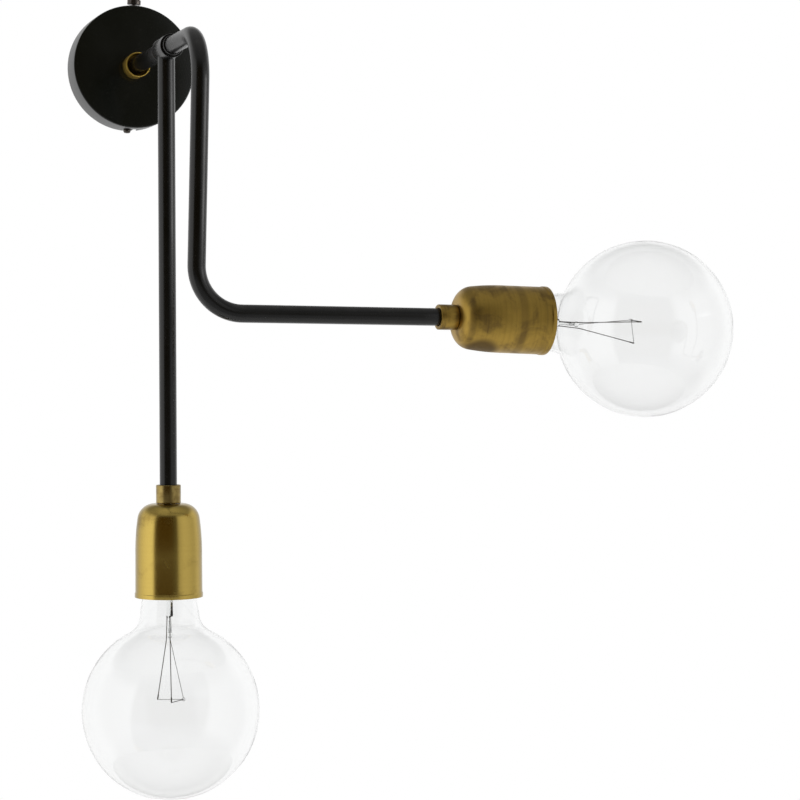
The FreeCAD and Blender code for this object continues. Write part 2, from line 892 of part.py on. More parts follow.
def glass_side(inset):
    """The envelope's side from its base to the far pole, moved inwards by the glass's thickness."""
    taper = math.radians(neck_taper_deg)
    out_r, out_h = math.cos(taper), -math.sin(taper)
    up_r, up_h = math.sin(taper), math.cos(taper)
    fillet = neck_fillet_radius
    start_r = neck_radius + out_r * fillet
    start_h = neck_height + out_h * fillet - globe_height
    half_b = start_r * up_r + start_h * up_h
    rest = start_r ** 2 + start_h ** 2 - (globe_radius + fillet) ** 2
    along = -half_b - math.sqrt(half_b ** 2 - rest)
    centre_r = start_r + up_r * along
    centre_h = start_h + up_h * along
    to_globe_r = -centre_r / (globe_radius + fillet)
    to_globe_h = -centre_h / (globe_radius + fillet)
    reach = fillet + inset
    mid_r, mid_h = to_globe_r - out_r, to_globe_h - out_h
    mid_length = math.hypot(mid_r, mid_h)
    centre_h += globe_height
    neck = (neck_radius - out_r * inset, neck_height - out_h * inset)
    bend_start = (centre_r - out_r * reach, centre_h - out_h * reach)
    bend_mid = (centre_r + mid_r / mid_length * reach, centre_h + mid_h / mid_length * reach)
    bend_end = (centre_r + to_globe_r * reach, centre_h + to_globe_h * reach)
    ball = globe_radius - inset
    lean = math.sqrt(0.5)
    base = (glass_base_radius - inset, glass_base_start)
    base_end = (glass_base_radius - inset, glass_base_end)
    flare_mid = (flare_mid_radius - inset * lean, flare_mid_height + inset * lean)
    pole = (0, globe_height + ball)
    edges = [
        straight(base, base_end),
        curve(base_end, flare_mid, neck),
        straight(neck, bend_start),
        curve(bend_start, bend_mid, bend_end),
        curve(bend_end, (ball * lean, globe_height + ball * lean), pole),
    ]
    return edges, base, pole


def make_bulb_glass():
    """The clear globe and its neck, a thin wall that is open where the cap is cemented on."""
    outer, outer_base, outer_pole = glass_side(0)
    inner, inner_base, inner_pole = glass_side(glass_wall)
    edges = outer + [straight(outer_pole, inner_pole)] + inner + [straight(inner_base, outer_base)]
    return spun_edges(Part.__sortEdges__(edges))


def make_bulb_cap():
    inner = cap_radius - cap_wall
    rim_start = cap_height - cap_rim_height
    return spun([
        (cap_floor_bore, cap_floor),
        (cap_radius - cap_wall, cap_floor),
        (cap_radius, cap_floor + cap_wall),
        (cap_radius, rim_start),
        (cap_radius + cap_rim_flare, cap_height),
        (inner + cap_rim_flare, cap_height),
        (inner, rim_start),
        (inner, cap_floor + cap_wall),
        (cap_floor_bore, cap_floor + cap_wall),
    ])


def make_cap_insulator():
    seat = cap_floor - insulator_gap
    plug = cap_floor_bore - insulator_gap
    return spun([
        (0, cap_contact_height),
        (insulator_tip_radius, cap_contact_height),
        (insulator_base_radius, seat),
        (plug, seat),
        (plug, seat + insulator_plug_height),
        (0, seat + insulator_plug_height),
    ])


def make_cap_contact():
    lean = math.sqrt(0.5)
    mid = (cap_contact_radius * lean, cap_contact_crown * (1 - lean))
    return spun_edges([
        curve((0, 0), mid, (cap_contact_radius, cap_contact_crown)),
        straight((cap_contact_radius, cap_contact_crown), (cap_contact_radius, cap_contact_height)),
        straight((cap_contact_radius, cap_contact_height), (0, cap_contact_height)),
        straight((0, cap_contact_height), (0, 0)),
    ])


def make_glass_mount():
    """The flared glass stem, its pinch, and the rod with a button on its end."""
    base = glass_base_radius - glass_wall - mount_gap
    wall = glass_wall
    hollow_radius = mount_pinch_radius - wall
    lean = math.sqrt(0.5)
    ball_join = math.sqrt(button_radius ** 2 - mount_rod_radius ** 2)
    return spun_edges([
        straight((base - wall, mount_base), (base, mount_base)),
        curve(
            (base, mount_base),
            (mount_flare_mid_radius, mount_flare_mid_height),
            (mount_pinch_radius, mount_flare_end),
        ),
        straight((mount_pinch_radius, mount_flare_end), (mount_pinch_radius, mount_pinch_end)),
        straight((mount_pinch_radius, mount_pinch_end), (mount_rod_radius, mount_pinch_end)),
        straight((mount_rod_radius, mount_pinch_end), (mount_rod_radius, button_height - ball_join)),
        curve(
            (mount_rod_radius, button_height - ball_join),
            (button_radius, button_height),
            (0, button_height + button_radius),
        ),
        straight((0, button_height + button_radius), (0, mount_hollow_end)),
        straight((0, mount_hollow_end), (hollow_radius, mount_hollow_end)),
        curve(
            (hollow_radius, mount_hollow_end),
            (mount_flare_mid_radius - wall * lean, mount_flare_mid_height - wall * lean),
            (base - wall, mount_base),
        ),
    ])


def wire_tip():
    return at(wire_tip_radius, globe_height - wire_tip_below_centre)


def support_tip():
    return at(-wire_tip_radius, globe_height - support_tip_below_centre)


def make_lead_wires(wire_turn_deg):
    """Two wires that rise from the pinch past the button and spread to hold the filament's ends."""
    start = at(wire_start_radius, mount_pinch_end + wire_start_gap)
    knee = at(wire_knee_radius, wire_knee_height)
    wire = swept(rounded_path([start, knee, wire_tip()], [wire_bend_radius]), wire_radius)
    return Part.makeCompound([turned(wire, Z_AXIS, wire_turn_deg + side * wire_side_deg) for side in (1, -1)])


def make_filament_support(wire_turn_deg):
    """A thin wire from the button to a small eye that the filament passes through."""
    foot = FreeCAD.Vector(0, 0, button_height + button_radius + wire_start_gap)
    tip = support_tip()
    heading = (tip - foot).normalize()
    stop = tip - heading * support_loop_radius
    stalk = swept(Part.Wire([Part.makeLine(foot, stop)]), support_radius)
    half = support_radius
    eye = sleeve(support_loop_radius + half, support_loop_radius - half, -half, half)
    eye = moved(turned(eye, X_AXIS, QUARTER_TURN), x=tip.x, z=tip.z)
    return turned(stalk.fuse(eye), Z_AXIS, wire_turn_deg)


def make_filament(wire_turn_deg):
    """A fine wire strung from one lead wire's tip through the eye to the other."""
    end = Part.Vertex(wire_tip() + Z_AXIS * filament_lift)
    ends = [turned(end, Z_AXIS, side * wire_side_deg).Point for side in (1, -1)]
    path = rounded_path([ends[0], support_tip(), ends[1]], [filament_bend_radius])
    return turned(swept(path, filament_radius), Z_AXIS, wire_turn_deg)


# Assembly


def place_head(shape, bearing_deg, at_point):
    """Turns a piece drawn along Z to a bearing, where 0 is down and 90 is to the right."""
    placed = turned(shape, Y_AXIS, HALF_TURN - bearing_deg)
    placed.translate(at_point)
    return placed


def head_nodes(name, at_point, bearing_deg, droop_deg, play_deg, bulb_seat, wire_turn_deg, settle):
    """Every piece of one lamp holder and its bulb, named for the arm that carries it."""
    fixed = {"ferrule": make_ferrule(), "holder_nipple": make_holder_nipple()}
    hung = {
        "holder_cup": make_holder_cup(),
        "lock_nut": make_lock_nut(),
        "holder_body": make_holder_body(),
        "screw_shell": make_screw_shell(),
        "holder_contacts": make_holder_contacts(bulb_seat),
        "terminal_screws": make_terminal_screws(),
    }
    bulb = {
        "bulb_glass": make_bulb_glass(),
        "bulb_cap": make_bulb_cap(),
        "cap_insulator": make_cap_insulator(),
        "cap_contact": make_cap_contact(),
        "glass_mount": make_glass_mount(),
        "lead_wires": make_lead_wires(wire_turn_deg),
        "filament_support": make_filament_support(wire_turn_deg),
        "filament": make_filament(wire_turn_deg),
    }
    pivot = FreeCAD.Vector(0, 0, cap_height / 2)
    for piece, shape in bulb.items():
        hung[piece] = moved(turned(shape, Y_AXIS, -play_deg, pivot), z=bulb_seat)
    for piece, shape in hung.items():
        fixed[piece] = turned(moved(shape, z=cup_seat_gap), Y_AXIS, -droop_deg)
    return {
        name + "_" + piece: settle(place_head(shape, bearing_deg, at_point))
        for piece, shape in fixed.items()
    }


def all_nodes():
    nodes = {
        "wall_strap": make_wall_strap(),
        "canopy": make_canopy(),
        "upper_rim_screw": make_rim_screw(upper_head_radius, upper_head_height, upper_head_lift, 0),
        "lower_rim_screw": make_rim_screw(lower_head_radius, lower_head_height, lower_head_lift, 1),
        "earth_screw": make_earth_screw(),
        "terminal_block": make_terminal_block(),
        "block_screws": make_block_screws(),
        "canopy_nipple": make_canopy_nipple(),
        "tooth_washer": make_tooth_washer(),
        "canopy_nut": make_canopy_nut(),
        "base_collar": make_base_collar(),
        "stem_tube": make_stem_tube(),
        "stem_flange": make_stem_flange(),
        "stem_lead": make_stem_lead(),
        "tee_collar": make_tee_collar(),
        "snap_rings": make_snap_rings(),
        "rear_friction_washer": make_rear_friction_washer(),
        "front_friction_washer": make_front_friction_washer(),
        "straight_arm_tube": make_straight_arm_tube(),
        "straight_lead": make_straight_lead(),
        "bent_arm_flange": make_bent_arm_flange(),
        "cover_ring": make_cover_ring(),
        "bent_arm_tube": make_bent_arm_tube(),
        "bent_lead": make_bent_lead(),
    }
    nodes.update(head_nodes(
        "straight",
        FreeCAD.Vector(0, -tee_off_wall, -straight_cup_drop),
        0,
        straight_cup_droop_deg,
        straight_bulb_play_deg,
        straight_bulb_seat,
        straight_wire_turn_deg,
        lambda shape: shape,
    ))
    nodes.update(head_nodes(
        "bent",
        on_level_run(bent_cup_reach),
        QUARTER_TURN + level_run_lift_deg,
        -bent_cup_droop_deg,
        -bent_bulb_play_deg,
        bent_bulb_seat,
        bent_wire_turn_deg,
        bent_arm_turn,
    ))
    return nodes


def main():
    os.makedirs("parts", exist_ok=True)
    for name, shape in all_nodes().items():
        shape.exportStep(os.path.join("parts", name + ".step"))
        solids = len(shape.Solids)
        print(name, "solids", solids, "volume", round(shape.Volume, 1), "valid", shape.isValid())


main()
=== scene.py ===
"""A two-arm swivel wall lamp with aged brass holders and clear globe bulbs, dressed for rendering.

Every new piece is drawn in millimetres round its own axis, then placed in the lamp and scaled to metres.
"""

from __future__ import annotations

import json
import logging
import math
from dataclasses import dataclass, field, replace
from enum import Enum
from functools import cache

import bmesh
import bpy
from bmesh.types import BMEdge, BMesh, BMVert
from mathutils import Matrix, Vector

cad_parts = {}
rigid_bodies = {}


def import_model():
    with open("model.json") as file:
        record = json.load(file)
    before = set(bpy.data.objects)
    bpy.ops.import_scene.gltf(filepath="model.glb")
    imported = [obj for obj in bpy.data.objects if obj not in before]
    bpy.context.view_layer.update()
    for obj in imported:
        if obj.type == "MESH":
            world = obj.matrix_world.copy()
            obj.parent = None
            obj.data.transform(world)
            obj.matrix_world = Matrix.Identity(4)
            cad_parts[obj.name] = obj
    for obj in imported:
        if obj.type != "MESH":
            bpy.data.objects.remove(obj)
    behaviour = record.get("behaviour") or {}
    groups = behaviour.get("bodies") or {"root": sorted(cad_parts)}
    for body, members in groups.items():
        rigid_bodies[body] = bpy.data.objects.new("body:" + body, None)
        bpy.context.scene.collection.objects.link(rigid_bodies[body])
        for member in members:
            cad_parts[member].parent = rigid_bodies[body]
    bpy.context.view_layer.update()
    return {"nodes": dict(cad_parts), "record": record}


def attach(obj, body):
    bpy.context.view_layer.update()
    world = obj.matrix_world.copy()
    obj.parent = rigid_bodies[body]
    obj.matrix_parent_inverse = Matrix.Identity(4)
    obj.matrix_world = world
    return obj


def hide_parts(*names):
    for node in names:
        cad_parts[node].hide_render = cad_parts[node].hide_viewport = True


LOG = logging.getLogger("wall_lamp")
MM = 0.001
X_AXIS = Vector((1.0, 0.0, 0.0))
Y_AXIS = Vector((0.0, 1.0, 0.0))
Z_AXIS = Vector((0.0, 0.0, 1.0))
ORIGIN = (0.0, 0.0, 0.0)
DIAGONAL = math.sqrt(0.5)
WELD_MM = 1e-4
SMOOTH_DEG = 34.0
INNER_WELD_M = 1e-6
INNER_EDGE_M = 0.00012
INNER_SHARP_DEG = 40.0
NUMBER_FROM_VECTORS = ("DOT_PRODUCT", "LENGTH", "DISTANCE")
Colour = tuple[float, float, float]
Point = tuple[float, float]
Socket = bpy.types.NodeSocket


class Body(Enum):
    """The moving bodies of the lamp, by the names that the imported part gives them."""

    WALL = "wall_base"
    STRAIGHT = "straight_arm"
    BENT = "bent_arm"


class Slot(Enum):
    """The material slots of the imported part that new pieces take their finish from."""

    CANOPY = "canopy_enamel"
    PAINT = "black_paint"
    SCREW = "black_screw"
    BRASS = "antique_brass"
    GLASS = "clear_glass"
    MOUNT_GLASS = "mount_glass"
    WIRE = "nickel_wire"
    FILAMENT = "filament_wire"
    CAP = "bulb_cap_metal"


def turn(degrees: float, axis: Vector) -> Matrix:
    """Makes a right-handed turn about an axis through the origin."""
    return Matrix.Rotation(math.radians(degrees), 4, axis)


def shift(x: float = 0.0, y: float = 0.0, z: float = 0.0) -> Matrix:
    """Makes a move in millimetres."""
    return Matrix.Translation((x, y, z))


def grey(level: float) -> Colour:
    """Gives a grey of a level."""
    return (level, level, level)


OFF_WALL = turn(90.0, X_AXIS)
WHITE = grey(1.0)
BLACK = grey(0.0)
SHADE: Colour = (0.055, 0.033, 0.004)
COOL_SHADE: Colour = (0.07, 0.062, 0.045)


# Mesh tools


def outward(mesh: BMesh) -> BMesh:
    """Turns a mesh's faces outwards and returns it."""
    bmesh.ops.recalc_face_normals(mesh, faces=mesh.faces[:])
    return mesh


def revolve(mesh: BMesh, steps: int) -> BMesh:
    """Takes an outline once round Z, merges its seam and poles, and turns its faces outwards.

    Args:
        mesh: the outline, changed in place.
        steps: the number of steps in the turn.

    Returns:
        The same mesh.
    """
    outline = mesh.verts[:] + mesh.edges[:]
    bmesh.ops.spin(mesh, geom=outline, cent=ORIGIN, axis=Z_AXIS, angle=math.tau, steps=steps, use_merge=True)
    bmesh.ops.remove_doubles(mesh, verts=mesh.verts[:], dist=WELD_MM)
    bmesh.ops.dissolve_degenerate(mesh, dist=WELD_MM / 10.0, edges=mesh.edges[:])
    return outward(mesh)


def wind(mesh: BMesh, turns: float, rise: float, steps: int) -> BMesh:
    """Winds a section up round Z.

    Args:
        mesh: the section, changed in place.
        turns: the number of turns.
        rise: the height that they gain.
        steps: the number of steps in all.

    Returns:
        The same mesh.
    """
    climb = (0.0, 0.0, rise / steps)
    angle = math.tau * turns
    bmesh.ops.spin(mesh, geom=mesh.faces[:], cent=ORIGIN, axis=Z_AXIS, dvec=climb, angle=angle, steps=steps)
    return outward(mesh)


@dataclass
class Turning:
    """The half outline of a turned piece, with its radius along X and its height along Z."""

    segments: int = 96
    mesh: BMesh = field(default_factory=bmesh.new)
    first: BMVert | None = None
    tip: BMVert | None = None

    def lines(self, *points: Point) -> Turning:
        """Draws straight runs from point to point; the very first point starts the outline.

        Args:
            points: the radius and height of each point.

        Returns:
            The turning itself, so that calls can follow one another.
        """
        for radius, height in points:
            if self.tip is None:
                self.first = self.tip = self.mesh.verts.new()
            else:
                self.tip = bmesh.ops.extrude_vert_indiv(self.mesh, verts=[self.tip])["verts"][0]
            self.tip.co = (radius, 0.0, height)
        return self

    def arc(self, through: Point, end: Point, steps: int) -> Turning:
        """Draws an arc from the last point, through a middle point, to an end point.

        Args:
            through: the radius and height of a point on the arc.
            end: the radius and height of its end.
            steps: the number of chords.

        Returns:
            The turning itself.
        """
        a = Vector((self.tip.co.x, self.tip.co.z))
        b, c = Vector(through), Vector(end)
        twice_area = 2.0 * (a - c).cross(b - c)
        lengths = (a - c).length_squared, (b - c).length_squared
        centre_x = c.x + (lengths[0] * (b - c).y - lengths[1] * (a - c).y) / twice_area
        centre_z = c.y + (lengths[1] * (a - c).x - lengths[0] * (b - c).x) / twice_area
        middle = Vector((centre_x, centre_z))
        angle = self._swing(a - middle, b - middle) + self._swing(b - middle, c - middle)
        centre = (middle.x, 0.0, middle.y)
        made = bmesh.ops.spin(self.mesh, geom=[self.tip], cent=centre, axis=Y_AXIS, angle=angle, steps=steps)
        self.tip = next(item for item in made["geom_last"] if isinstance(item, BMVert))
        return self

    @staticmethod
    def _swing(before: Vector, after: Vector) -> float:
        """Gives the angle about +Y between two spokes drawn as (x, z), in radians."""
        return math.atan2(before.y * after.x - before.x * after.y, before.dot(after))

    def spin(self) -> BMesh:
        """Spins the outline once round Z."""
        return revolve(self.mesh, self.segments)

    def ring(self) -> BMesh:
        """Joins the last point to the first and spins the closed outline."""
        self.mesh.edges.new((self.tip, self.first))
        return self.spin()

    def shell(self, wall: float) -> BMesh:
        """Spins an open outline and gives it a wall on its inner side.

        Args:
            wall: the wall's thickness.

        Returns:
            The closed mesh of the thin-walled piece.
        """
        mesh = self.spin()
        bmesh.ops.solidify(mesh, geom=mesh.faces[:], thickness=wall)
        return mesh


def corner(radius: float, height: float, edge: float) -> Point:
    """Gives the middle of the rounding at an outer, upper corner of a turned piece.

    Args:
        radius: the sharp corner's radius.
        height: its height.
        edge: the rounding's own radius.

    Returns:
        The radius and height of the rounding's middle.
    """
    lean = edge * (1.0 - DIAGONAL)
    return radius - lean, height - lean


@dataclass
class Pipe:
    """A round pipe that is drawn out in straight runs and bends, starting along +Z at the origin."""

    radius: float
    segments: int = 64
    mesh: BMesh = field(default_factory=bmesh.new)
    heading: Vector = field(default_factory=Z_AXIS.copy)
    centre: Vector = field(default_factory=Vector)
    ring: list[BMVert | BMEdge] = field(default_factory=list)

    def __post_init__(self) -> None:
        """Draws the first ring."""
        bmesh.ops.create_circle(self.mesh, cap_ends=False, radius=self.radius, segments=self.segments)
        self.ring = self.mesh.verts[:] + self.mesh.edges[:]

    def run(self, length: float, steps: int) -> Pipe:
        """Draws the pipe straight on.

        Args:
            length: the length of the run.
            steps: the number of rings that divide it.

        Returns:
            The pipe itself, so that calls can follow one another.
        """
        step = self.heading * (length / steps)
        for _ in range(steps):
            edges = [item for item in self.ring if isinstance(item, BMEdge)]
            made = bmesh.ops.extrude_edge_only(self.mesh, edges=edges)["geom"]
            points = [item for item in made if isinstance(item, BMVert)]
            known = set(points)
            sides = [item for item in made if isinstance(item, BMEdge) and known.issuperset(item.verts)]
            bmesh.ops.translate(self.mesh, verts=points, vec=step)
            self.centre = self.centre + step
            self.ring = points + sides
        return self

    def bend(self, towards: Vector, radius: float, degrees: float, steps: int) -> Pipe:
        """Bends the pipe towards a side.

        Args:
            towards: the unit direction, square to the heading, in which the bend's centre lies.
            radius: the bend's radius at the pipe's middle.
            degrees: the angle of the bend.
            steps: the number of rings in it.

        Returns:
            The pipe itself.
        """
        angle = math.radians(degrees)
        axis = self.heading.cross(towards).normalized()
        pivot = self.centre + towards * radius
        made = bmesh.ops.spin(self.mesh, geom=self.ring, cent=pivot, axis=axis, angle=angle, steps=steps)
        self.ring = [item for item in made["geom_last"] if isinstance(item, (BMVert, BMEdge))]
        swing = Matrix.Rotation(angle, 3, axis)
        self.centre = pivot + swing @ (self.centre - pivot)
        self.heading = swing @ self.heading
        return self

    def hollow(self, wall: float) -> BMesh:
        """Gives the pipe a wall of some thickness on its inner side, and returns its closed mesh."""
        bmesh.ops.solidify(outward(self.mesh), geom=self.mesh.faces[:], thickness=wall)
        return self.mesh


def bevel(mesh: BMesh, edges: list[BMEdge], width: float, segments: int) -> BMesh:
    """Rounds some edges of a mesh.

    Args:
        mesh: the mesh, changed in place.
        edges: the edges.
        width: the width of the rounding.
        segments: the number of faces across it.

    Returns:
        The same mesh.
    """
    shape = {
        "offset_type": "OFFSET",
        "profile": 0.5,
        "affect": "EDGES",
        "clamp_overlap": True,
        "material": -1,
    }
    bmesh.ops.bevel(mesh, geom=edges, offset=width, segments=segments, **shape)
    return mesh


def soften(mesh: BMesh, width: float, segments: int = 2, sharper_than_deg: float = 32.0) -> BMesh:
    """Rounds the sharp edges of a mesh.

    Args:
        mesh: the mesh, changed in place.
        width: the width of the rounding.
        segments: the number of faces across it.
        sharper_than_deg: edges that bend more than this are rounded.

    Returns:
        The same mesh.
    """
    limit = math.radians(sharper_than_deg)
    sharp = [e for e in mesh.edges if len(e.link_faces) == 2 and e.calc_face_angle(0.0) > limit]
    return bevel(mesh, sharp, width, segments)


def to_data(mesh: BMesh, name: str) -> bpy.types.Mesh:
    """Turns a drawn mesh into mesh data and frees it.

    Args:
        mesh: the drawn mesh.
        name: the data's name.

    Returns:
        The mesh data.
    """
    data = bpy.data.meshes.new(name)
    mesh.to_mesh(data)
    mesh.free()
    return data


def linked(name: str, data: bpy.types.ID) -> bpy.types.Object:
    """Makes an object from its data and links it to the scene.

    Args:
        name: the object's name.
        data: its mesh, camera or light.

    Returns:
        The object.
    """
    made = bpy.data.objects.new(name, data)
    bpy.context.scene.collection.objects.link(made)
    return made


def carve(body: BMesh, cutter: BMesh) -> BMesh:
    """Cuts one mesh out of another.

    Args:
        body: the mesh to cut, which is freed.
        cutter: the mesh that is taken away, which is freed.

    Returns:
        A new mesh of what is left.
    """
    blank = linked("blank", to_data(body, "blank"))
    knife = linked("cutter", to_data(cutter, "cutter"))
    cut = blank.modifiers.new("cut", "BOOLEAN")
    cut.operation, cut.solver, cut.object = "DIFFERENCE", "EXACT", knife
    left = bmesh.new()
    left.from_object(blank, bpy.context.evaluated_depsgraph_get())
    for holder in (blank, knife):
        data = holder.data
        bpy.data.objects.remove(holder)
        bpy.data.meshes.remove(data)
    return left


def block(size: tuple[float, float, float], middle: tuple[float, float, float]) -> BMesh:
    """Makes a rectangular block, used as a cutter.

    Args:
        size: its lengths along X, Y and Z.
        middle: its middle.

    Returns:
        The mesh of the block.
    """
    mesh = bmesh.new()
    bmesh.ops.create_cube(mesh, size=1.0)
    bmesh.ops.scale(mesh, vec=size, verts=mesh.verts[:])
    bmesh.ops.translate(mesh, vec=middle, verts=mesh.verts[:])
    return mesh


def rod(radius: float, length: float, segments: int = 32) -> BMesh:
    """Makes a round rod along Z, with its middle at the origin.

    Args:
        radius: its radius.
        length: its length.
        segments: the number of its sides.

    Returns:
        The closed mesh of the rod.
    """
    mesh = bmesh.new()
    bmesh.ops.create_cone(
        mesh, cap_ends=True, segments=segments, radius1=radius, radius2=radius, depth=length
    )
    return mesh


def merged(*meshes: BMesh) -> BMesh:
    """Puts several meshes into one and frees them.

    Args:
        meshes: the meshes to put together.

    Returns:
        A new mesh that holds them all.
    """
    whole = bmesh.new()
    for mesh in meshes:
        data = to_data(mesh, "part")
        whole.from_mesh(data)
        bpy.data.meshes.remove(data)
    return whole


def placed(mesh: BMesh, place: Matrix) -> BMesh:
    """Moves a mesh to its place and returns it."""
    mesh.transform(place)
    return mesh


@dataclass(frozen=True)
class Piece:
    """What a finished piece is called, what it rides on and which part of the frame it stands for."""

    name: str
    body: Body
    slot: Slot
    stands_for: tuple[str, ...]
    smooth_deg: float = SMOOTH_DEG

    def make(self, mesh: BMesh, place: Matrix, brass: BrassFinish | None = None) -> None:
        """Turns a mesh into the finished object, which rides on its body.

        Args:
            mesh: the piece in millimetres, drawn round its own axis, which is freed.
            place: the matrix that takes it to its place in the lamp.
            brass: its own finish, where it doesn't share its slot's material.
        """
        data = to_data(placed(mesh, Matrix.Scale(MM, 4) @ place), self.name)
        data.polygons.foreach_set("use_smooth", [True] * len(data.polygons))
        data.set_sharp_from_angle(angle=math.radians(self.smooth_deg))
        data.materials.append(brass.make(place) if brass else slot_material(self.slot.value))
        made = linked(self.name, data)
        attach(made, self.body.value)
        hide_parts(*self.stands_for)
        LOG.info("%s: %d faces on %s", self.name, len(data.polygons), self.body.value)


# Node groups that several finishes share


class Grain(Enum):
    """The shared node groups, each of which puts out masks and heights that change over a surface."""

    TURNED = "lathe_marks"
    PATINA = "brass_patina"
    SKIN = "paint_skin"
    DUST = "settled_dust"


@dataclass
class Wiring:
    """Adds nodes to a tree and joins them, so that a material reads as a list of steps."""

    tree: bpy.types.NodeTree

    def fill(self, node: bpy.types.Node, inputs: dict[str | int, Socket | float | Colour | Vector]) -> None:
        """Feeds a node's inputs from other sockets or with plain values.

        Args:
            node: the node.
            inputs: a socket, a number or three numbers, by the name or number of the input.
        """
        for key, value in inputs.items():
            socket = node.inputs[key]
            if isinstance(value, Socket):
                self.tree.links.new(value, socket)
            elif socket.type == "RGBA":
                socket.default_value = (*value, 1.0)
            else:
                socket.default_value = value

    def put(self, kind: str, inputs: dict | None = None, **settings: str | bool) -> bpy.types.Node:
        """Adds a node.

        Args:
            kind: the node's Blender type.
            inputs: what feeds it, as fill() takes it.
            settings: the node's own properties.

        Returns:
            The node.
        """
        node = self.tree.nodes.new(kind)
        for key, value in settings.items():
            setattr(node, key, value)
        self.fill(node, inputs or {})
        return node

    def maths(self, operation: str, *terms: Socket | float) -> Socket:
        """Adds a math node on sockets or numbers, and gives its result."""
        return self.put("ShaderNodeMath", dict(enumerate(terms)), operation=operation).outputs[0]

    def vectors(self, operation: str, *terms: Socket | Vector | Colour) -> Socket:
        """Adds a vector math node on sockets or vectors, and gives its result."""
        node = self.put("ShaderNodeVectorMath", dict(enumerate(terms)), operation=operation)
        return node.outputs["Value" if operation in NUMBER_FROM_VECTORS else "Vector"]

    def split(self, vector: Socket) -> bpy.types.NodeOutputs:
        """Splits a vector into its X, Y and Z."""
        return self.put("ShaderNodeSeparateXYZ", {0: vector}).outputs

    def ramp(
        self, source: Socket, low: float, high: float, to_low: float = 0.0, to_high: float = 1.0
    ) -> Socket:
        """Adds a smooth step.

        Args:
            source: the value that is mapped.
            low: where the step starts.
            high: where it ends.
            to_low: the result up to the start.
            to_high: the result from the end on.

        Returns:
            The result's socket.
        """
        node = self.put(
            "ShaderNodeMapRange",
            {"Value": source, "From Min": low, "From Max": high, "To Min": to_low, "To Max": to_high},
            interpolation_type="SMOOTHSTEP",
        )
        return node.outputs["Result"]

    def noise(
        self, vector: Socket, scale: Socket | float, detail: float, rough: float = 0.5, warp: float = 0.0
    ) -> Socket:
        """Adds a noise texture with some waves per unit of the coordinates, about 0.5 on average."""
        inputs = {"Vector": vector, "Scale": scale, "Detail": detail, "Roughness": rough, "Distortion": warp}
        return self.put("ShaderNodeTexNoise", inputs).outputs["Fac"]

    def noise_along(self, place: Socket, scale: float, detail: float) -> Socket:
        """Adds a noise texture along one line, about 0.5 on average."""
        inputs = {"W": place, "Scale": scale, "Detail": detail}
        return self.put("ShaderNodeTexNoise", inputs, noise_dimensions="1D").outputs["Fac"]

    def blend(
        self, mask: Socket | float, first: Socket | Colour, second: Socket | Colour, mode: str = "MIX"
    ) -> Socket:
        """Mixes two colours, with the mask as the second one's share."""
        inputs = {0: mask, 6: first, 7: second}
        node = self.put("ShaderNodeMix", inputs, data_type="RGBA", blend_type=mode, clamp_factor=True)
        return node.outputs[2]

    def bump(self, height: Socket, strength: float, distance: float) -> Socket:
        """Turns a height from 0 to 1 into a normal; the distance is the height of 1 in metres."""
        inputs = {"Height": height, "Strength": strength, "Distance": distance}
        return self.put("ShaderNodeBump", inputs).outputs["Normal"]

    def group(self, grain: Grain, vector: Socket, **numbers: float) -> bpy.types.NodeOutputs:
        """Places a shared group.

        Args:
            grain: the group.
            vector: the coordinates that it reads.
            numbers: its own inputs.

        Returns:
            The group's outputs.
        """
        node = self.tree.nodes.new("ShaderNodeGroup")
        node.node_tree = bpy.data.node_groups[grain.value]
        self.fill(node, {"vector": vector, **numbers})
        return node.outputs


def start_group(grain: Grain, **numbers: float) -> tuple[Wiring, bpy.types.NodeOutputs]:
    """Starts a shader node group that reads coordinates and numbers.

    Args:
        grain: the group.
        numbers: each number's name with its default.

    Returns:
        The wiring of the group's tree, and the outputs that give what the group reads.
    """
    tree = bpy.data.node_groups.new(grain.value, "ShaderNodeTree")
    tree.interface.new_socket(name="vector", in_out="INPUT", socket_type="NodeSocketVector")
    for name, value in numbers.items():
        socket = tree.interface.new_socket(name=name, in_out="INPUT", socket_type="NodeSocketFloat")
        socket.default_value = value
    return Wiring(tree), tree.nodes.new("NodeGroupInput").outputs


def end_group(wiring: Wiring, **results: Socket) -> None:
    """Ends a shader node group.

    Args:
        wiring: the wiring of the group's tree.
        results: what the group puts out, by name.
    """
    for name in results:
        wiring.tree.interface.new_socket(name=name, in_out="OUTPUT", socket_type="NodeSocketFloat")
    wiring.put("NodeGroupOutput", results)


def build_lathe_marks() -> None:
    """Makes the group of fine rings that a lathe leaves round a piece's Z axis, in millimetres."""
    wiring, given = start_group(Grain.TURNED, rings_per_mm=2.0, wander=0.35)
    split = wiring.split(given["vector"])
    drift = wiring.noise(given["vector"], 0.05, 1.0)
    lifted = wiring.maths("MULTIPLY_ADD", drift, given["wander"], split["Z"])
    along = wiring.maths("MULTIPLY", lifted, given["rings_per_mm"])
    fine = wiring.noise_along(along, 1.0, 3.0)
    coarse = wiring.noise_along(along, 0.22, 2.0)
    raised = wiring.maths("MULTIPLY", lifted, 6.0)
    across = wiring.put("ShaderNodeCombineXYZ", {"X": split["X"], "Y": split["Y"], "Z": raised}).outputs[0]
    broken = wiring.noise(across, 0.12, 2.0)
    strength = wiring.ramp(broken, 0.35, 0.65, 0.35, 1.0)
    gaps = wiring.ramp(broken, 0.3, 0.7, 0.4, 1.0)
    streak = wiring.maths("MULTIPLY", wiring.ramp(coarse, 0.35, 0.68), gaps)
    end_group(wiring, height=wiring.maths("MULTIPLY", fine, strength), streak=streak)


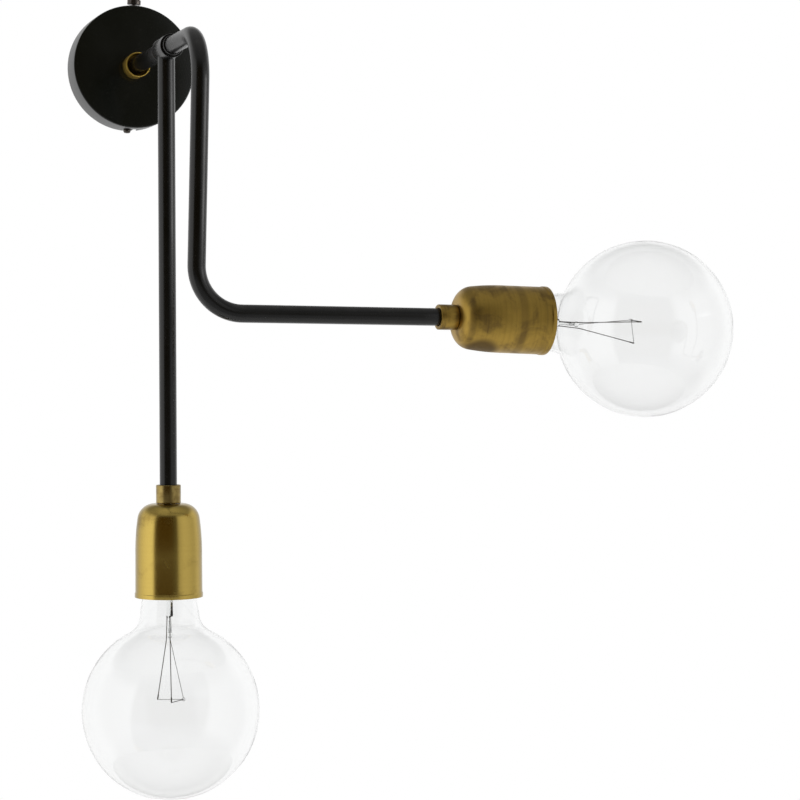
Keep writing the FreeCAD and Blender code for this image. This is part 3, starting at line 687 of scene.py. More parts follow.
def build_patina() -> None:
    """Makes the group of the brown clouds and small spots that age leaves on brass."""
    wiring, given = start_group(Grain.PATINA, amount=0.5, cloud_mm=18.0, seed=0.0)
    seed = wiring.put("ShaderNodeCombineXYZ", {"X": given["seed"], "Y": given["seed"]}).outputs[0]
    moved = wiring.vectors("ADD", given["vector"], seed)
    cloud = wiring.noise(moved, wiring.maths("DIVIDE", 1.0, given["cloud_mm"]), 4.0, 0.6, 0.6)
    edge = wiring.maths("SUBTRACT", 0.78, wiring.maths("MULTIPLY", given["amount"], 0.45))
    cover = wiring.ramp(wiring.maths("SUBTRACT", cloud, edge), -0.12, 0.14)
    spots = wiring.ramp(wiring.noise(moved, 0.9, 3.0, 0.7), 0.6, 0.72)
    spot = wiring.maths("MULTIPLY", spots, wiring.maths("MULTIPLY_ADD", cover, 0.6, 0.2))
    end_group(wiring, cloud=cover, spot=spot)


def build_paint_skin() -> None:
    """Makes the group of the low, even waves of sprayed paint, with a slow change of tone."""
    wiring, given = start_group(Grain.SKIN, wave_mm=0.8)
    waves = wiring.noise(given["vector"], wiring.maths("DIVIDE", 1.0, given["wave_mm"]), 2.0, 0.45)
    tone = wiring.ramp(wiring.noise(given["vector"], 0.03, 3.0, 0.55), 0.3, 0.7)
    end_group(wiring, height=waves, tone=tone)


def build_dust() -> None:
    """Makes the group of the thin dust that settles on faces that look up, and of loose specks."""
    wiring, given = start_group(Grain.DUST, amount=0.3)
    upward = wiring.split(wiring.put("ShaderNodeNewGeometry").outputs["Normal"])["Z"]
    patches = wiring.ramp(wiring.noise(given["vector"], 0.12, 3.0, 0.6), 0.3, 0.8)
    lying = wiring.maths("MULTIPLY", wiring.ramp(upward, 0.2, 1.0), patches)
    cells = wiring.put("ShaderNodeTexVoronoi", {"Vector": given["vector"], "Scale": 0.35}, feature="F1")
    grains = wiring.ramp(cells.outputs["Distance"], 0.03, 0.09, 1.0, 0.0)
    film = wiring.maths("MULTIPLY", lying, given["amount"])
    end_group(wiring, film=film, speck=wiring.maths("MULTIPLY", grains, given["amount"]))


def build_groups() -> None:
    """Makes every shared node group once."""
    for build in (build_lathe_marks, build_patina, build_paint_skin, build_dust):
        build()


# Finishes


def new_material(name: str) -> tuple[bpy.types.Material, Wiring, bpy.types.Node]:
    """Starts a material.

    Args:
        name: the material's name.

    Returns:
        The material, the wiring of its tree, and its Principled BSDF.
    """
    material = bpy.data.materials.new(name)
    material.use_nodes = True
    tree = material.node_tree
    return material, Wiring(tree), tree.nodes["Principled BSDF"]


def own_millimetres(wiring: Wiring, place: Matrix) -> Socket:
    """Gives coordinates in millimetres in a piece's own frame, with Z along its axis.

    Args:
        wiring: the material's wiring.
        place: the matrix, in millimetres, that took the piece from its own frame to the lamp.

    Returns:
        The socket of the coordinates.
    """
    inputs = {
        "Vector": wiring.put("ShaderNodeTexCoord").outputs["Object"],
        "Location": place.to_translation() * MM,
        "Rotation": place.to_euler("XYZ"),
        "Scale": (MM, MM, MM),
    }
    return wiring.put("ShaderNodeMapping", inputs, vector_type="TEXTURE").outputs["Vector"]


@dataclass(frozen=True)
class PaintFinish:
    """Sprayed black paint with a faint skin, slow changes of tone and a little dust.

    Beyond the radius brushed_beyond round the stem's line it is brushed, as the canopy's side wall is.
    """

    name: str
    colour: Colour
    worn_colour: Colour
    roughness: float
    roughness_swing: float = 0.08
    wave_mm: float = 0.8
    wave_height: float = 0.0002
    bump: float = 0.05
    dust: float = 0.25
    dust_colour: Colour = (0.42, 0.40, 0.36)
    dust_roughness: float = 0.5
    film_cover: float = 0.12
    speck_cover: float = 0.35
    brushed_beyond: float = 0.0
    brushed_fade: float = 0.15
    brushed_roughness: float = 0.35
    brushed_swing: float = 0.24

    def make(self) -> bpy.types.Material:
        """Makes the material.

        Returns:
            The material.
        """
        material, wiring, shader = new_material(self.name)
        vector = own_millimetres(wiring, Matrix.Identity(4))
        skin = wiring.group(Grain.SKIN, vector, wave_mm=self.wave_mm)
        dust = wiring.group(Grain.DUST, vector, amount=self.dust)
        film = wiring.maths("MULTIPLY", dust["film"], self.film_cover)
        cover = wiring.maths("MAXIMUM", film, wiring.maths("MULTIPLY", dust["speck"], self.speck_cover))
        tone = wiring.blend(skin["tone"], self.colour, self.worn_colour)
        smoothest = self.roughness - self.roughness_swing / 2.0
        rough = wiring.maths("MULTIPLY_ADD", skin["tone"], self.roughness_swing, smoothest)
        rough = wiring.maths("MULTIPLY_ADD", dust["film"], self.dust_roughness, rough)
        if self.brushed_beyond:
            rough = wiring.maths("MAXIMUM", rough, self.brushing(wiring, vector))
        surface = {
            "Base Color": wiring.blend(cover, tone, self.dust_colour),
            "Roughness": rough,
            "Normal": wiring.bump(skin["height"], self.bump, self.wave_height),
        }
        wiring.fill(shader, surface)
        return material

    def brushing(self, wiring: Wiring, vector: Socket) -> Socket:
        """Gives the roughness of the brushed side wall, which lies beyond a radius round the stem's line.

        Args:
            wiring: the material's wiring.
            vector: the coordinates in millimetres.

        Returns:
            The socket of the roughness, 0 inside the radius.
        """
        radius = wiring.vectors("LENGTH", wiring.vectors("MULTIPLY", vector, (1.0, 0.0, 1.0)))
        smoothest = self.brushed_roughness - self.brushed_swing / 2.0
        waver = wiring.noise(vector, 1.6, 2.0, 0.6)
        uneven = wiring.maths("MULTIPLY_ADD", waver, self.brushed_swing, smoothest)
        start, end = self.brushed_beyond - self.brushed_fade, self.brushed_beyond + self.brushed_fade
        return wiring.maths("MULTIPLY", wiring.ramp(radius, start, end), uneven)


@dataclass(frozen=True)
class Band:
    """A darker ring round a turned piece, in millimetres along its axis."""

    middle: float
    half_width: float
    depth: float
    sharp_share: float = 0.3


@dataclass(frozen=True)
class DarkPatch:
    """A dark patch round a point of the lamp, in millimetres."""

    middle: tuple[float, float, float]
    radius: float
    full_share: float = 0.5


@dataclass(frozen=True)
class BrassFinish:
    """Turned brass: rings from the lathe, brown clouds and spots of age, darker bands, dark patches, and
    painted shade towards the outline.
    """

    name: str
    bright: Colour
    dull: Colour
    brown: Colour
    roughness: float
    patina: float
    rings_per_mm: float = 2.2
    streaks: float = 1.0
    turned_bump: float = 0.22
    ring_height: float = 0.00012
    brown_roughness: float = 0.22
    spot_level: float = 0.5
    # Painted shade: towards the outline the colour is multiplied by this level, over this range of facing.
    outline_shade_level: float = 1.0
    outline_shade_range: tuple[float, float] = (0.12, 0.8)
    seed: float = 0.0
    bands: tuple[Band, ...] = ()
    dark_patches: tuple[DarkPatch, ...] = ()

    def make(self, place: Matrix) -> bpy.types.Material:
        """Makes the material for a piece at a place.

        Args:
            place: the matrix, in millimetres, that took the piece from its own frame to the lamp.

        Returns:
            The material.
        """
        material, wiring, shader = new_material(self.name)
        vector = own_millimetres(wiring, place)
        turned = wiring.group(Grain.TURNED, vector, rings_per_mm=self.rings_per_mm)
        patina = wiring.group(Grain.PATINA, vector, amount=self.patina, seed=self.seed)
        streak = wiring.maths("MULTIPLY", turned["streak"], self.streaks)
        streaked = wiring.maths("MULTIPLY_ADD", streak, 0.4, 0.6)
        brown_share = wiring.maths("MULTIPLY", patina["cloud"], streaked)
        for mark in self.marks(wiring, vector, patina["cloud"], place):
            brown_share = wiring.maths("MAXIMUM", brown_share, mark)
        aged = wiring.blend(brown_share, wiring.blend(streak, self.bright, self.dull), self.brown)
        colour = wiring.blend(patina["spot"], aged, tuple(self.spot_level * part for part in self.brown))
        # Painted shade: the colour is dimmed where the surface turns away from the view, towards the outline.
        if self.outline_shade_level < 1.0:
            facing = wiring.put("ShaderNodeLayerWeight", {"Blend": 0.5}).outputs["Facing"]
            outline_shaded = wiring.blend(1.0, colour, grey(self.outline_shade_level), "MULTIPLY")
            colour = wiring.blend(wiring.ramp(facing, *self.outline_shade_range), colour, outline_shaded)
        surface = {
            "Base Color": colour,
            "Roughness": wiring.maths("MULTIPLY_ADD", brown_share, self.brown_roughness, self.roughness),
            "Normal": wiring.bump(turned["height"], self.turned_bump, self.ring_height),
            "Metallic": 1.0,
        }
        wiring.fill(shader, surface)
        return material

    def marks(self, wiring: Wiring, vector: Socket, cloud: Socket, place: Matrix) -> list[Socket]:
        """Makes a mask for each darker band, which the clouds break up, and for each dark patch.

        Args:
            wiring: the material's wiring.
            vector: the coordinates in millimetres.
            cloud: the patina's clouds.
            place: the matrix that took the piece from its own frame to the lamp.

        Returns:
            The masks' sockets.
        """
        height = wiring.split(vector)["Z"]
        masks = []
        for band in self.bands:
            distance = wiring.maths("ABSOLUTE", wiring.maths("SUBTRACT", height, band.middle))
            ring = wiring.ramp(distance, band.half_width * band.sharp_share, band.half_width, band.depth, 0.0)
            masks.append(wiring.maths("MULTIPLY", ring, wiring.ramp(cloud, 0.0, 0.8, 0.45, 1.0)))
        for dark_patch in self.dark_patches:
            away = wiring.vectors("DISTANCE", vector, place.inverted() @ Vector(dark_patch.middle))
            masks.append(wiring.ramp(away, dark_patch.radius * dark_patch.full_share, dark_patch.radius, 1.0, 0.0))
        return masks


@dataclass(frozen=True)
class GlassFinish:
    """Clear blown glass."""

    name: str
    tint: Colour = (0.974, 0.977, 0.976)
    index: float = 1.48
    waves_per_mm: float = 0.045
    wave_height: float = 0.0006
    bump: float = 0.12

    def make(self) -> bpy.types.Material:
        """Makes the material, with the faint waves of blown glass in its surface.

        Returns:
            The material.
        """
        material, wiring, shader = new_material(self.name)
        waves = wiring.noise(own_millimetres(wiring, Matrix.Identity(4)), self.waves_per_mm, 1.0)
        surface = {
            "Base Color": self.tint,
            "Roughness": 0.0,
            "IOR": self.index,
            "Transmission Weight": 1.0,
            "Normal": wiring.bump(waves, self.bump, self.wave_height),
        }
        wiring.fill(shader, surface)
        return material


@dataclass(frozen=True)
class PlainFinish:
    """A material for fittings and insulators: a base tone with a second tone in clouds, and a fine bump."""

    name: str
    colour: Colour
    second: Colour
    roughness: float
    roughness_swing: float = 0.1
    metallic: float = 0.0
    cloud_mm: float = 6.0
    grain_mm: float = 0.5
    grain_height: float = 0.0001
    bump: float = 0.1
    coat: float = 0.0

    def make(self) -> bpy.types.Material:
        """Makes the material.

        Returns:
            The material.
        """
        material, wiring, shader = new_material(self.name)
        vector = own_millimetres(wiring, Matrix.Identity(4))
        clouds = wiring.ramp(wiring.noise(vector, 1.0 / self.cloud_mm, 4.0, 0.6), 0.3, 0.7)
        grain = wiring.noise(vector, 1.0 / self.grain_mm, 2.0)
        smoothest = self.roughness - self.roughness_swing / 2.0
        surface = {
            "Base Color": wiring.blend(clouds, self.colour, self.second),
            "Roughness": wiring.maths("MULTIPLY_ADD", clouds, self.roughness_swing, smoothest),
            "Normal": wiring.bump(grain, self.bump, self.grain_height),
            "Metallic": self.metallic,
            "Coat Weight": self.coat,
        }
        wiring.fill(shader, surface)
        return material


GOLDEN_BRASS = {"bright": (0.70, 0.505, 0.125), "dull": (0.62, 0.44, 0.105), "brown": (0.36, 0.24, 0.06)}
FERRULE_BRASS = {"bright": (0.50, 0.375, 0.13), "dull": (0.42, 0.30, 0.10), "brown": (0.20, 0.13, 0.04)}
BROWN_BRASS = {"bright": (0.50, 0.325, 0.07), "dull": (0.40, 0.255, 0.055), "brown": (0.20, 0.13, 0.045)}
# The collar's near-black brown also colours the painted shade at its foot.
COLLAR_BRASS = {"bright": (0.78, 0.54, 0.12), "dull": (0.50, 0.34, 0.07), "brown": (0.05, 0.035, 0.012)}
# Each finish's outline level is painted shade: how far its colour is dimmed towards the outline.
STRAIGHT_FERRULE = BrassFinish(
    "straight_ferrule_brass",
    **FERRULE_BRASS,
    roughness=0.25,
    patina=0.6,
    streaks=0.5,
    outline_shade_level=0.7,
    seed=3.0,
)
STRAIGHT_CUP = BrassFinish(
    "straight_cup_brass",
    **GOLDEN_BRASS,
    roughness=0.22,
    patina=0.3,
    streaks=0.25,
    turned_bump=0.08,
    outline_shade_level=0.42,
    seed=11.0,
)
BENT_FERRULE = BrassFinish(
    "bent_ferrule_brass", **BROWN_BRASS, roughness=0.35, patina=0.6, streaks=0.8, outline_shade_level=0.5, seed=21.0
)
BENT_CUP = BrassFinish(
    "bent_cup_brass",
    **BROWN_BRASS,
    roughness=0.38,
    patina=0.5,
    streaks=0.5,
    outline_shade_level=0.8,
    seed=31.0,
    bands=(Band(5.6, 3.2, 0.85), Band(41.5, 4.5, 0.75), Band(58.0, 1.2, 0.5)),
    # A darker patch round a point under the crown, next to the ferrule.
    dark_patches=(DarkPatch((192.0, -231.0, -209.0), 15.0),),
)
FINISHES = {
    "black_paint": PaintFinish("tube_paint", (0.0016, 0.0016, 0.0013), (0.0024, 0.0023, 0.0019), 0.26),
    "canopy_enamel": PaintFinish(
        "canopy_enamel",
        (0.0030, 0.0035, 0.0024),
        (0.0036, 0.0041, 0.0030),
        0.18,
        wave_mm=1.4,
        bump=0.03,
        brushed_beyond=44.6,
    ),
    "black_screw": PlainFinish(
        "screw_black", (0.10, 0.085, 0.075), (0.055, 0.05, 0.045), 0.26, metallic=0.9, cloud_mm=3.0
    ),
    "clear_glass": GlassFinish("envelope_glass"),
    "mount_glass": GlassFinish("mount_glass", tint=(0.97, 0.98, 0.975), index=1.52),
}
FINISHES |= {
    finish.name: finish
    for finish in (
        PlainFinish("bulb_cap_metal", (0.74, 0.66, 0.48), (0.60, 0.52, 0.36), 0.3, metallic=1.0),
        PlainFinish("nickel_wire", (0.20, 0.19, 0.18), (0.13, 0.12, 0.11), 0.35, metallic=1.0, cloud_mm=2.0),
        PlainFinish("filament_wire", grey(0.12), grey(0.08), 0.4, metallic=1.0, cloud_mm=2.0),
        PlainFinish("zinc_steel", (0.62, 0.62, 0.60), (0.48, 0.47, 0.44), 0.32, metallic=1.0),
        PlainFinish("spring_steel", grey(0.16), grey(0.10), 0.35, metallic=1.0, cloud_mm=3.0),
        PlainFinish(
            "brass_fitting", (0.78, 0.58, 0.25), (0.62, 0.44, 0.18), 0.28, metallic=1.0, cloud_mm=4.0
        ),
        PlainFinish("fibre_washer", (0.26, 0.07, 0.03), (0.18, 0.045, 0.02), 0.7, grain_mm=0.2, bump=0.4),
        PlainFinish("block_plastic", (0.74, 0.73, 0.69), (0.66, 0.65, 0.60), 0.45, grain_mm=0.3),
        PlainFinish("lead_sleeve", (0.58, 0.58, 0.55), (0.50, 0.50, 0.47), 0.5, grain_mm=0.4),
        PlainFinish("porcelain", (0.80, 0.78, 0.72), (0.72, 0.70, 0.63), 0.22, cloud_mm=9.0, coat=0.6),
        PlainFinish("black_glass", (0.012, 0.012, 0.014), (0.03, 0.03, 0.034), 0.12, coat=0.5),
    )
}


@cache
def slot_material(slot_name: str) -> bpy.types.Material:
    """Makes the material that the pieces of a slot share, once."""
    return FINISHES[slot_name].make()


# The lamp's sub-assemblies


@dataclass
class WallMount:
    """The canopy with its two side screws, the brass collar and the stem."""

    canopy_radius: float = 45.0
    canopy_depth: float = 25.0
    canopy_wall: float = 1.2
    front_edge_radius: float = 1.0
    back_edge_radius: float = 0.35
    nipple_hole_radius: float = 5.1
    screw_turn_deg: float = 3.5
    screw_off_wall: float = 10.5
    screw_start: float = 36.0
    slot_half_width: float = 2.2
    slot_run: float = 6.8
    slot_reach: float = 3.0
    slot_past_wall: float = 1.0
    collar_radius: float = 9.0
    collar_bore: float = 8.2
    collar_height: float = 13.0
    collar_floor: float = 2.0
    collar_hole: float = 4.95
    collar_edge: float = 0.28
    # Painted shade: a near-black band round the collar's foot, where it meets the canopy.
    collar_foot_shade: Band = Band(1.5, 5.0, 1.0)
    stem_radius: float = 6.0
    stem_wall: float = 1.0
    stem_end: float = 119.0
    stem_edge: float = 0.15

    def build(self) -> None:
        """Builds and dresses the pieces at the wall."""
        self.build_canopy()
        self.build_collar()
        self.build_stem()
        for screw in (UPPER_SCREW, LOWER_SCREW):
            about = OFF_WALL @ turn(screw.side_deg - self.screw_turn_deg, Z_AXIS)
            screw.build(about @ shift(z=self.screw_off_wall) @ turn(-90.0, X_AXIS), self)

    def canopy_blank(self) -> BMesh:
        """Spins the canopy's cup, with a rounded front edge and a chamfered rim at the wall.

        Returns:
            The closed mesh of the cup, before its slots are cut.
        """
        edge, low, hole = self.front_edge_radius, self.back_edge_radius, self.nipple_hole_radius
        outer, front = self.canopy_radius, self.canopy_depth
        inner, floor = outer - self.canopy_wall, front - self.canopy_wall
        cup = Turning(segments=192)
        cup.lines((hole, floor), (hole, front), (outer * 0.5, front), (outer - edge, front))
        cup.arc(corner(outer, front, edge), (outer, front - edge), 6)
        cup.lines((outer, low), (outer - low, 0.0))
        cup.lines((inner, 0.0), (inner, floor - edge), (inner - edge, floor))
        return cup.ring()

    def slot_cutters(self) -> list[BMesh]:
        """Makes the cutters of one bayonet slot.

        Returns:
            The meshes that cut its round seat, its run and its mouth at the wall.
        """
        run_deg = math.degrees(self.slot_run / self.canopy_radius)
        depth, width = 2.0 * self.slot_reach, 2.0 * self.slot_half_width
        outer, high = self.canopy_radius, self.screw_off_wall + self.slot_half_width
        past = self.slot_past_wall
        mouth = block((depth, width, high + past), (outer, 0.0, (high - past) / 2.0))
        run = bmesh.new()
        bmesh.ops.create_grid(run, x_segments=1, y_segments=1, size=0.5)
        run.transform(turn(90.0, X_AXIS))
        bmesh.ops.scale(run, vec=(depth, 1.0, width), verts=run.verts[:])
        bmesh.ops.translate(run, vec=(outer, 0.0, self.screw_off_wall), verts=run.verts[:])
        bmesh.ops.spin(run, geom=run.faces[:], cent=ORIGIN, axis=Z_AXIS, angle=math.radians(run_deg), steps=6)
        seat_place = shift(outer, 0.0, self.screw_off_wall) @ turn(90.0, Y_AXIS)
        seat = placed(rod(self.slot_half_width, depth), seat_place)
        return [seat, outward(run), placed(mouth, turn(run_deg, Z_AXIS))]

    def build_canopy(self) -> None:
        """Builds the canopy with its two bayonet slots."""
        cup = self.canopy_blank()
        for side_deg in (90.0, 270.0):
            for cutter in self.slot_cutters():
                cup = carve(cup, placed(cutter, turn(side_deg - self.screw_turn_deg, Z_AXIS)))
        Piece("canopy_cup", Body.WALL, Slot.CANOPY, ("canopy",)).make(cup, OFF_WALL)

    def build_collar(self) -> None:
        """Builds the brass collar round the foot of the stem."""
        foot, outer, bore, hole = self.canopy_depth, self.collar_radius, self.collar_bore, self.collar_hole
        top, floor = foot + self.collar_height, foot + self.collar_floor
        sleeve = Turning().lines((hole, foot), (outer, foot), (outer, top))
        sleeve.lines((bore, top), (bore, floor), (hole, floor))
        mesh = soften(sleeve.ring(), self.collar_edge, 3)
        # Painted shade at the collar's foot, in the brown of its finish.
        dark = replace(self.collar_foot_shade, middle=foot + self.collar_foot_shade.middle)
        finish = BrassFinish(
            "collar_brass", **COLLAR_BRASS, roughness=0.5, patina=0.3, bands=(dark,), seed=40.0
        )
        Piece("stem_collar", Body.WALL, Slot.BRASS, ("base_collar",)).make(mesh, OFF_WALL, finish)

    def build_stem(self) -> None:
        """Builds the stem's tube, from the collar's floor to the swivel."""
        start = self.canopy_depth + self.collar_floor
        tube = Pipe(self.stem_radius).run(self.stem_end - start, 6).hollow(self.stem_wall)
        mesh = soften(tube, self.stem_edge)
        Piece("stem_pipe", Body.WALL, Slot.PAINT, ("stem_tube",)).make(mesh, OFF_WALL @ shift(z=start))


@dataclass
class RimScrew:
    """A side screw with a slotted, rounded head and a cut thread."""

    name: str
    stands_for: str
    head_radius: float
    head_height: float
    lift: float
    side_deg: float
    edge_radius: float = 0.9
    edge_softness: float = 0.12
    shank_radius: float = 1.6
    point_share: float = 0.6
    point_length: float = 0.6
    thread_radius: float = 2.0
    thread_sink: float = 0.1
    thread_gaps: Point = (0.7, 0.3)
    pitch: float = 0.7
    steps_per_turn: int = 24
    driver_slot_width: float = 1.0
    driver_slot_depth: float = 1.2

    def build(self, place: Matrix, mount: WallMount) -> None:
        """Builds the screw.

        Args:
            place: the matrix that takes it, drawn along Z, to its place.
            mount: the wall mount, whose canopy it presses on.
        """
        start, seat = mount.screw_start, mount.canopy_radius + self.lift
        shank, head = self.shank_radius, self.head_radius
        edge, top = self.edge_radius, seat + self.head_height
        body = Turning(segments=48).lines((0.0, start), (shank * self.point_share, start))
        body.lines((shank, start + self.point_length), (shank, seat), (head, seat), (head, top - edge))
        body.arc(corner(head, top, edge), (head - edge, top), 5).lines((0.0, top))
        slot = block((3.0 * head, self.driver_slot_width, 2.0 * self.driver_slot_depth), (0.0, 0.0, top))
        screw = carve(soften(body.spin(), self.edge_softness, 2, 60.0), slot)
        ridge = self.thread(start + self.thread_gaps[0], seat - self.thread_gaps[1])
        Piece(self.name, Body.WALL, Slot.SCREW, (self.stands_for,)).make(merged(screw, ridge), place)

    def thread(self, start: float, end: float) -> BMesh:
        """Winds the thread's ridge round the shank.

        Args:
            start: the height at which the thread starts.
            end: the height at which it ends.

        Returns:
            The mesh of the ridge.
        """
        turns = (end - start - self.pitch) / self.pitch
        root, crest = self.shank_radius - self.thread_sink, self.thread_radius
        section = bmesh.new()
        for radius, share in ((root, 0.0), (crest, 0.4), (crest, 0.5), (root, 0.9)):
            section.verts.new((radius, 0.0, start + share * self.pitch))
        section.faces.new(section.verts[:])
        return wind(section, turns, turns * self.pitch, max(2, int(turns * self.steps_per_turn)))


UPPER_SCREW = RimScrew(
    "upper_side_screw", "upper_rim_screw", head_radius=5.0, head_height=3.7, lift=2.8, side_deg=0.0
)
LOWER_SCREW = RimScrew(
    "lower_side_screw",
    "lower_rim_screw",
    head_radius=2.7,
    head_height=2.6,
    lift=0.1,
    side_deg=180.0,
    edge_radius=1.6,
)


@dataclass
class Swivel:
    """The turned collar on the stem's end, in which both arms are held."""

    radius: float = 8.3
    bore: float = 7.3
    rear_bore: float = 6.07
    back: float = 116.0
    front: float = 142.5
    lip: float = 2.5
    groove_depth: float = 0.4
    groove_play: float = 0.1
    ring_thickness: float = 1.0
    ring_starts: tuple[float, float, float] = (140.1, 136.75, 120.85)
    edge: float = 0.4
    branch_off_wall: float = 125.0
    branch_bore: float = 2.95
    cover_radius: float = 6.9
    cover_bore: float = 6.03
    cover_seat: float = 1.3
    cover_proud: float = 3.5
    cover_edge: float = 0.7
    cover_softness: float = 0.08

    def build(self, settle: Matrix) -> None:
        """Builds the collar, and the ring on the bent arm that stands out of its mouth.

        Args:
            settle: the small turn at which the bent arm hangs.
        """
        self.build_collar()
        start, end = self.front - self.cover_seat, self.front + self.cover_proud
        outer, bore, edge = self.cover_radius, self.cover_bore, self.cover_edge
        cover = Turning(segments=80).lines((bore, start), (outer, start), (outer, end - edge))
        cover.arc(corner(outer, end, edge), (outer - edge, end), 6).lines((bore, end))
        mesh = soften(cover.ring(), self.cover_softness, 2, 60.0)
        Piece("cover_washer", Body.BENT, Slot.PAINT, ("cover_ring",)).make(mesh, settle @ OFF_WALL)

    def build_collar(self) -> None:
        """Builds the collar, with the grooves for its snap rings and the hole into the straight arm."""
        outer, bore, rear, groove = self.radius, self.bore, self.rear_bore, self.bore + self.groove_depth
        sleeve = Turning().lines((rear, self.back), (outer, self.back))
        sleeve.lines((outer, self.front), (bore, self.front))
        for start in self.ring_starts:
            low = start - self.groove_play / 2.0
            high = start + self.ring_thickness + self.groove_play / 2.0
            sleeve.lines((bore, high), (groove, high), (groove, low), (bore, low))
        sleeve.lines((bore, self.back + self.lip), (rear, self.back + self.lip))
        branch = rod(self.branch_bore, outer)
        branch.transform(shift(0.0, -outer, self.branch_off_wall) @ turn(90.0, X_AXIS))
        mesh = carve(self.round_outside(sleeve.ring()), branch)
        Piece("swivel_collar", Body.STRAIGHT, Slot.PAINT, ("tee_collar",)).make(mesh, OFF_WALL)

    def round_outside(self, mesh: BMesh) -> BMesh:
        """Rounds the collar's edges at its back and front.

        Args:
            mesh: the spun collar, changed in place.

        Returns:
            The same mesh.
        """
        rims = []
        for edge in mesh.edges:
            one, other = (vert.co for vert in edge.verts)
            at_end = abs(one.z - other.z) < WELD_MM and one.z in (self.back, self.front)
            if at_end and abs(one.xy.length - other.xy.length) < 10.0 * WELD_MM:
                rims.append(edge)
        return bevel(mesh, rims, self.edge, 3)


@dataclass
class StraightArm:
    """The arm that hangs straight down: one tube, coped at its top to the swivel collar."""

    radius: float = 6.0
    wall: float = 1.0
    off_wall: float = 125.0
    collar_radius: float = 8.31
    tube_end: float = 310.6
    cup_top: float = 315.6

    def build(self) -> None:
        """Builds the tube, which is drawn along Z and then hung from the stem's line."""
        pipe = Pipe(self.radius)
        top = pipe.mesh.verts[:]
        bmesh.ops.translate(pipe.mesh, vec=(0.0, 0.0, self.collar_radius), verts=top)
        pipe.run(self.tube_end - self.collar_radius, 12)
        for vert in top:
            vert.co.z = math.sqrt(self.collar_radius**2 - vert.co.x**2)
        piece = Piece("straight_tube", Body.STRAIGHT, Slot.PAINT, ("straight_arm_tube",), smooth_deg=50.0)
        piece.make(pipe.hollow(self.wall), shift(y=-self.off_wall) @ turn(180.0, Y_AXIS))


@dataclass
class BentArm:
    """The arm that goes out from the swivel, down, and level to the right, in one bent tube."""

    radius: float = 6.0
    wall: float = 1.0
    end_edge: float = 0.12
    start_off_wall: float = 140.05
    plane_off_wall: float = 223.8
    drop: float = 184.9
    cup_reach: float = 181.4
    tube_stop: float = 5.0
    upper_bend: float = 33.0
    lower_bend: float = 31.0
    rest_turn_deg: float = 1.45
    level_lift_deg: float = 0.66

    def settle(self) -> Matrix:
        """Gives the small turn about the stem's line at which the arm hangs."""
        return turn(self.rest_turn_deg, Y_AXIS)

    def cup_top(self) -> Vector:
        """Gives the point where the arm's line meets the top of its cup, before the arm settles."""
        run = turn(-self.level_lift_deg, Y_AXIS) @ Vector((self.cup_reach, 0.0, 0.0))
        return Vector((0.0, -self.plane_off_wall, -self.drop)) + run

    def build(self) -> None:
        """Builds the tube with its two bends."""
        lower_deg = 90.0 + self.level_lift_deg
        tangent = self.lower_bend * math.tan(math.radians(lower_deg / 2.0))
        out = self.plane_off_wall - self.start_off_wall - self.upper_bend
        down = self.drop - self.upper_bend - tangent
        level = self.cup_reach - self.tube_stop - tangent
        pipe = Pipe(self.radius).run(out, 4).bend(-Y_AXIS, self.upper_bend, 90.0, 28)
        pipe.run(down, 6).bend(X_AXIS, self.lower_bend, lower_deg, 28).run(level, 7)
        place = self.settle() @ shift(y=-self.start_off_wall) @ OFF_WALL
        piece = Piece("bent_tube", Body.BENT, Slot.PAINT, ("bent_arm_tube",))
        piece.make(soften(pipe.hollow(self.wall), self.end_edge), place)


@dataclass
class HolderSizes:
    """The sizes of a ferrule and holder cup, with heights measured from the top of the cup.

    The lip's points are given by how far they lie inside the lip's radius and beyond its start.
    """

    ferrule_radius: float = 8.6
    ferrule_length: float = 12.8
    ferrule_edge: float = 0.5
    ferrule_lower_bore: float = 4.95
    ferrule_upper_bore: float = 6.1
    tube_stop: float = 5.0
    seat_gap: float = 0.25
    cup_hole: float = 5.1
    cup_length: float = 65.0
    cup_wall: float = 0.8
    cup_edge: float = 0.22
    crown_radius: float = 11.42
    crown_arc: tuple[Point, Point] = ((17.89, 2.99), (21.62, 10.4))
    side_arc: tuple[Point, Point] = ((22.74, 21.45), (23.16, 35.75))
    lip_radius: float = 23.7
    lip_height: float = 3.6
    lip_points: tuple[Point, ...] = ((0.4, -0.1), (0.34, 0.3), (0.12, 0.72), (0.03, 0.9), (0.0, 1.25))


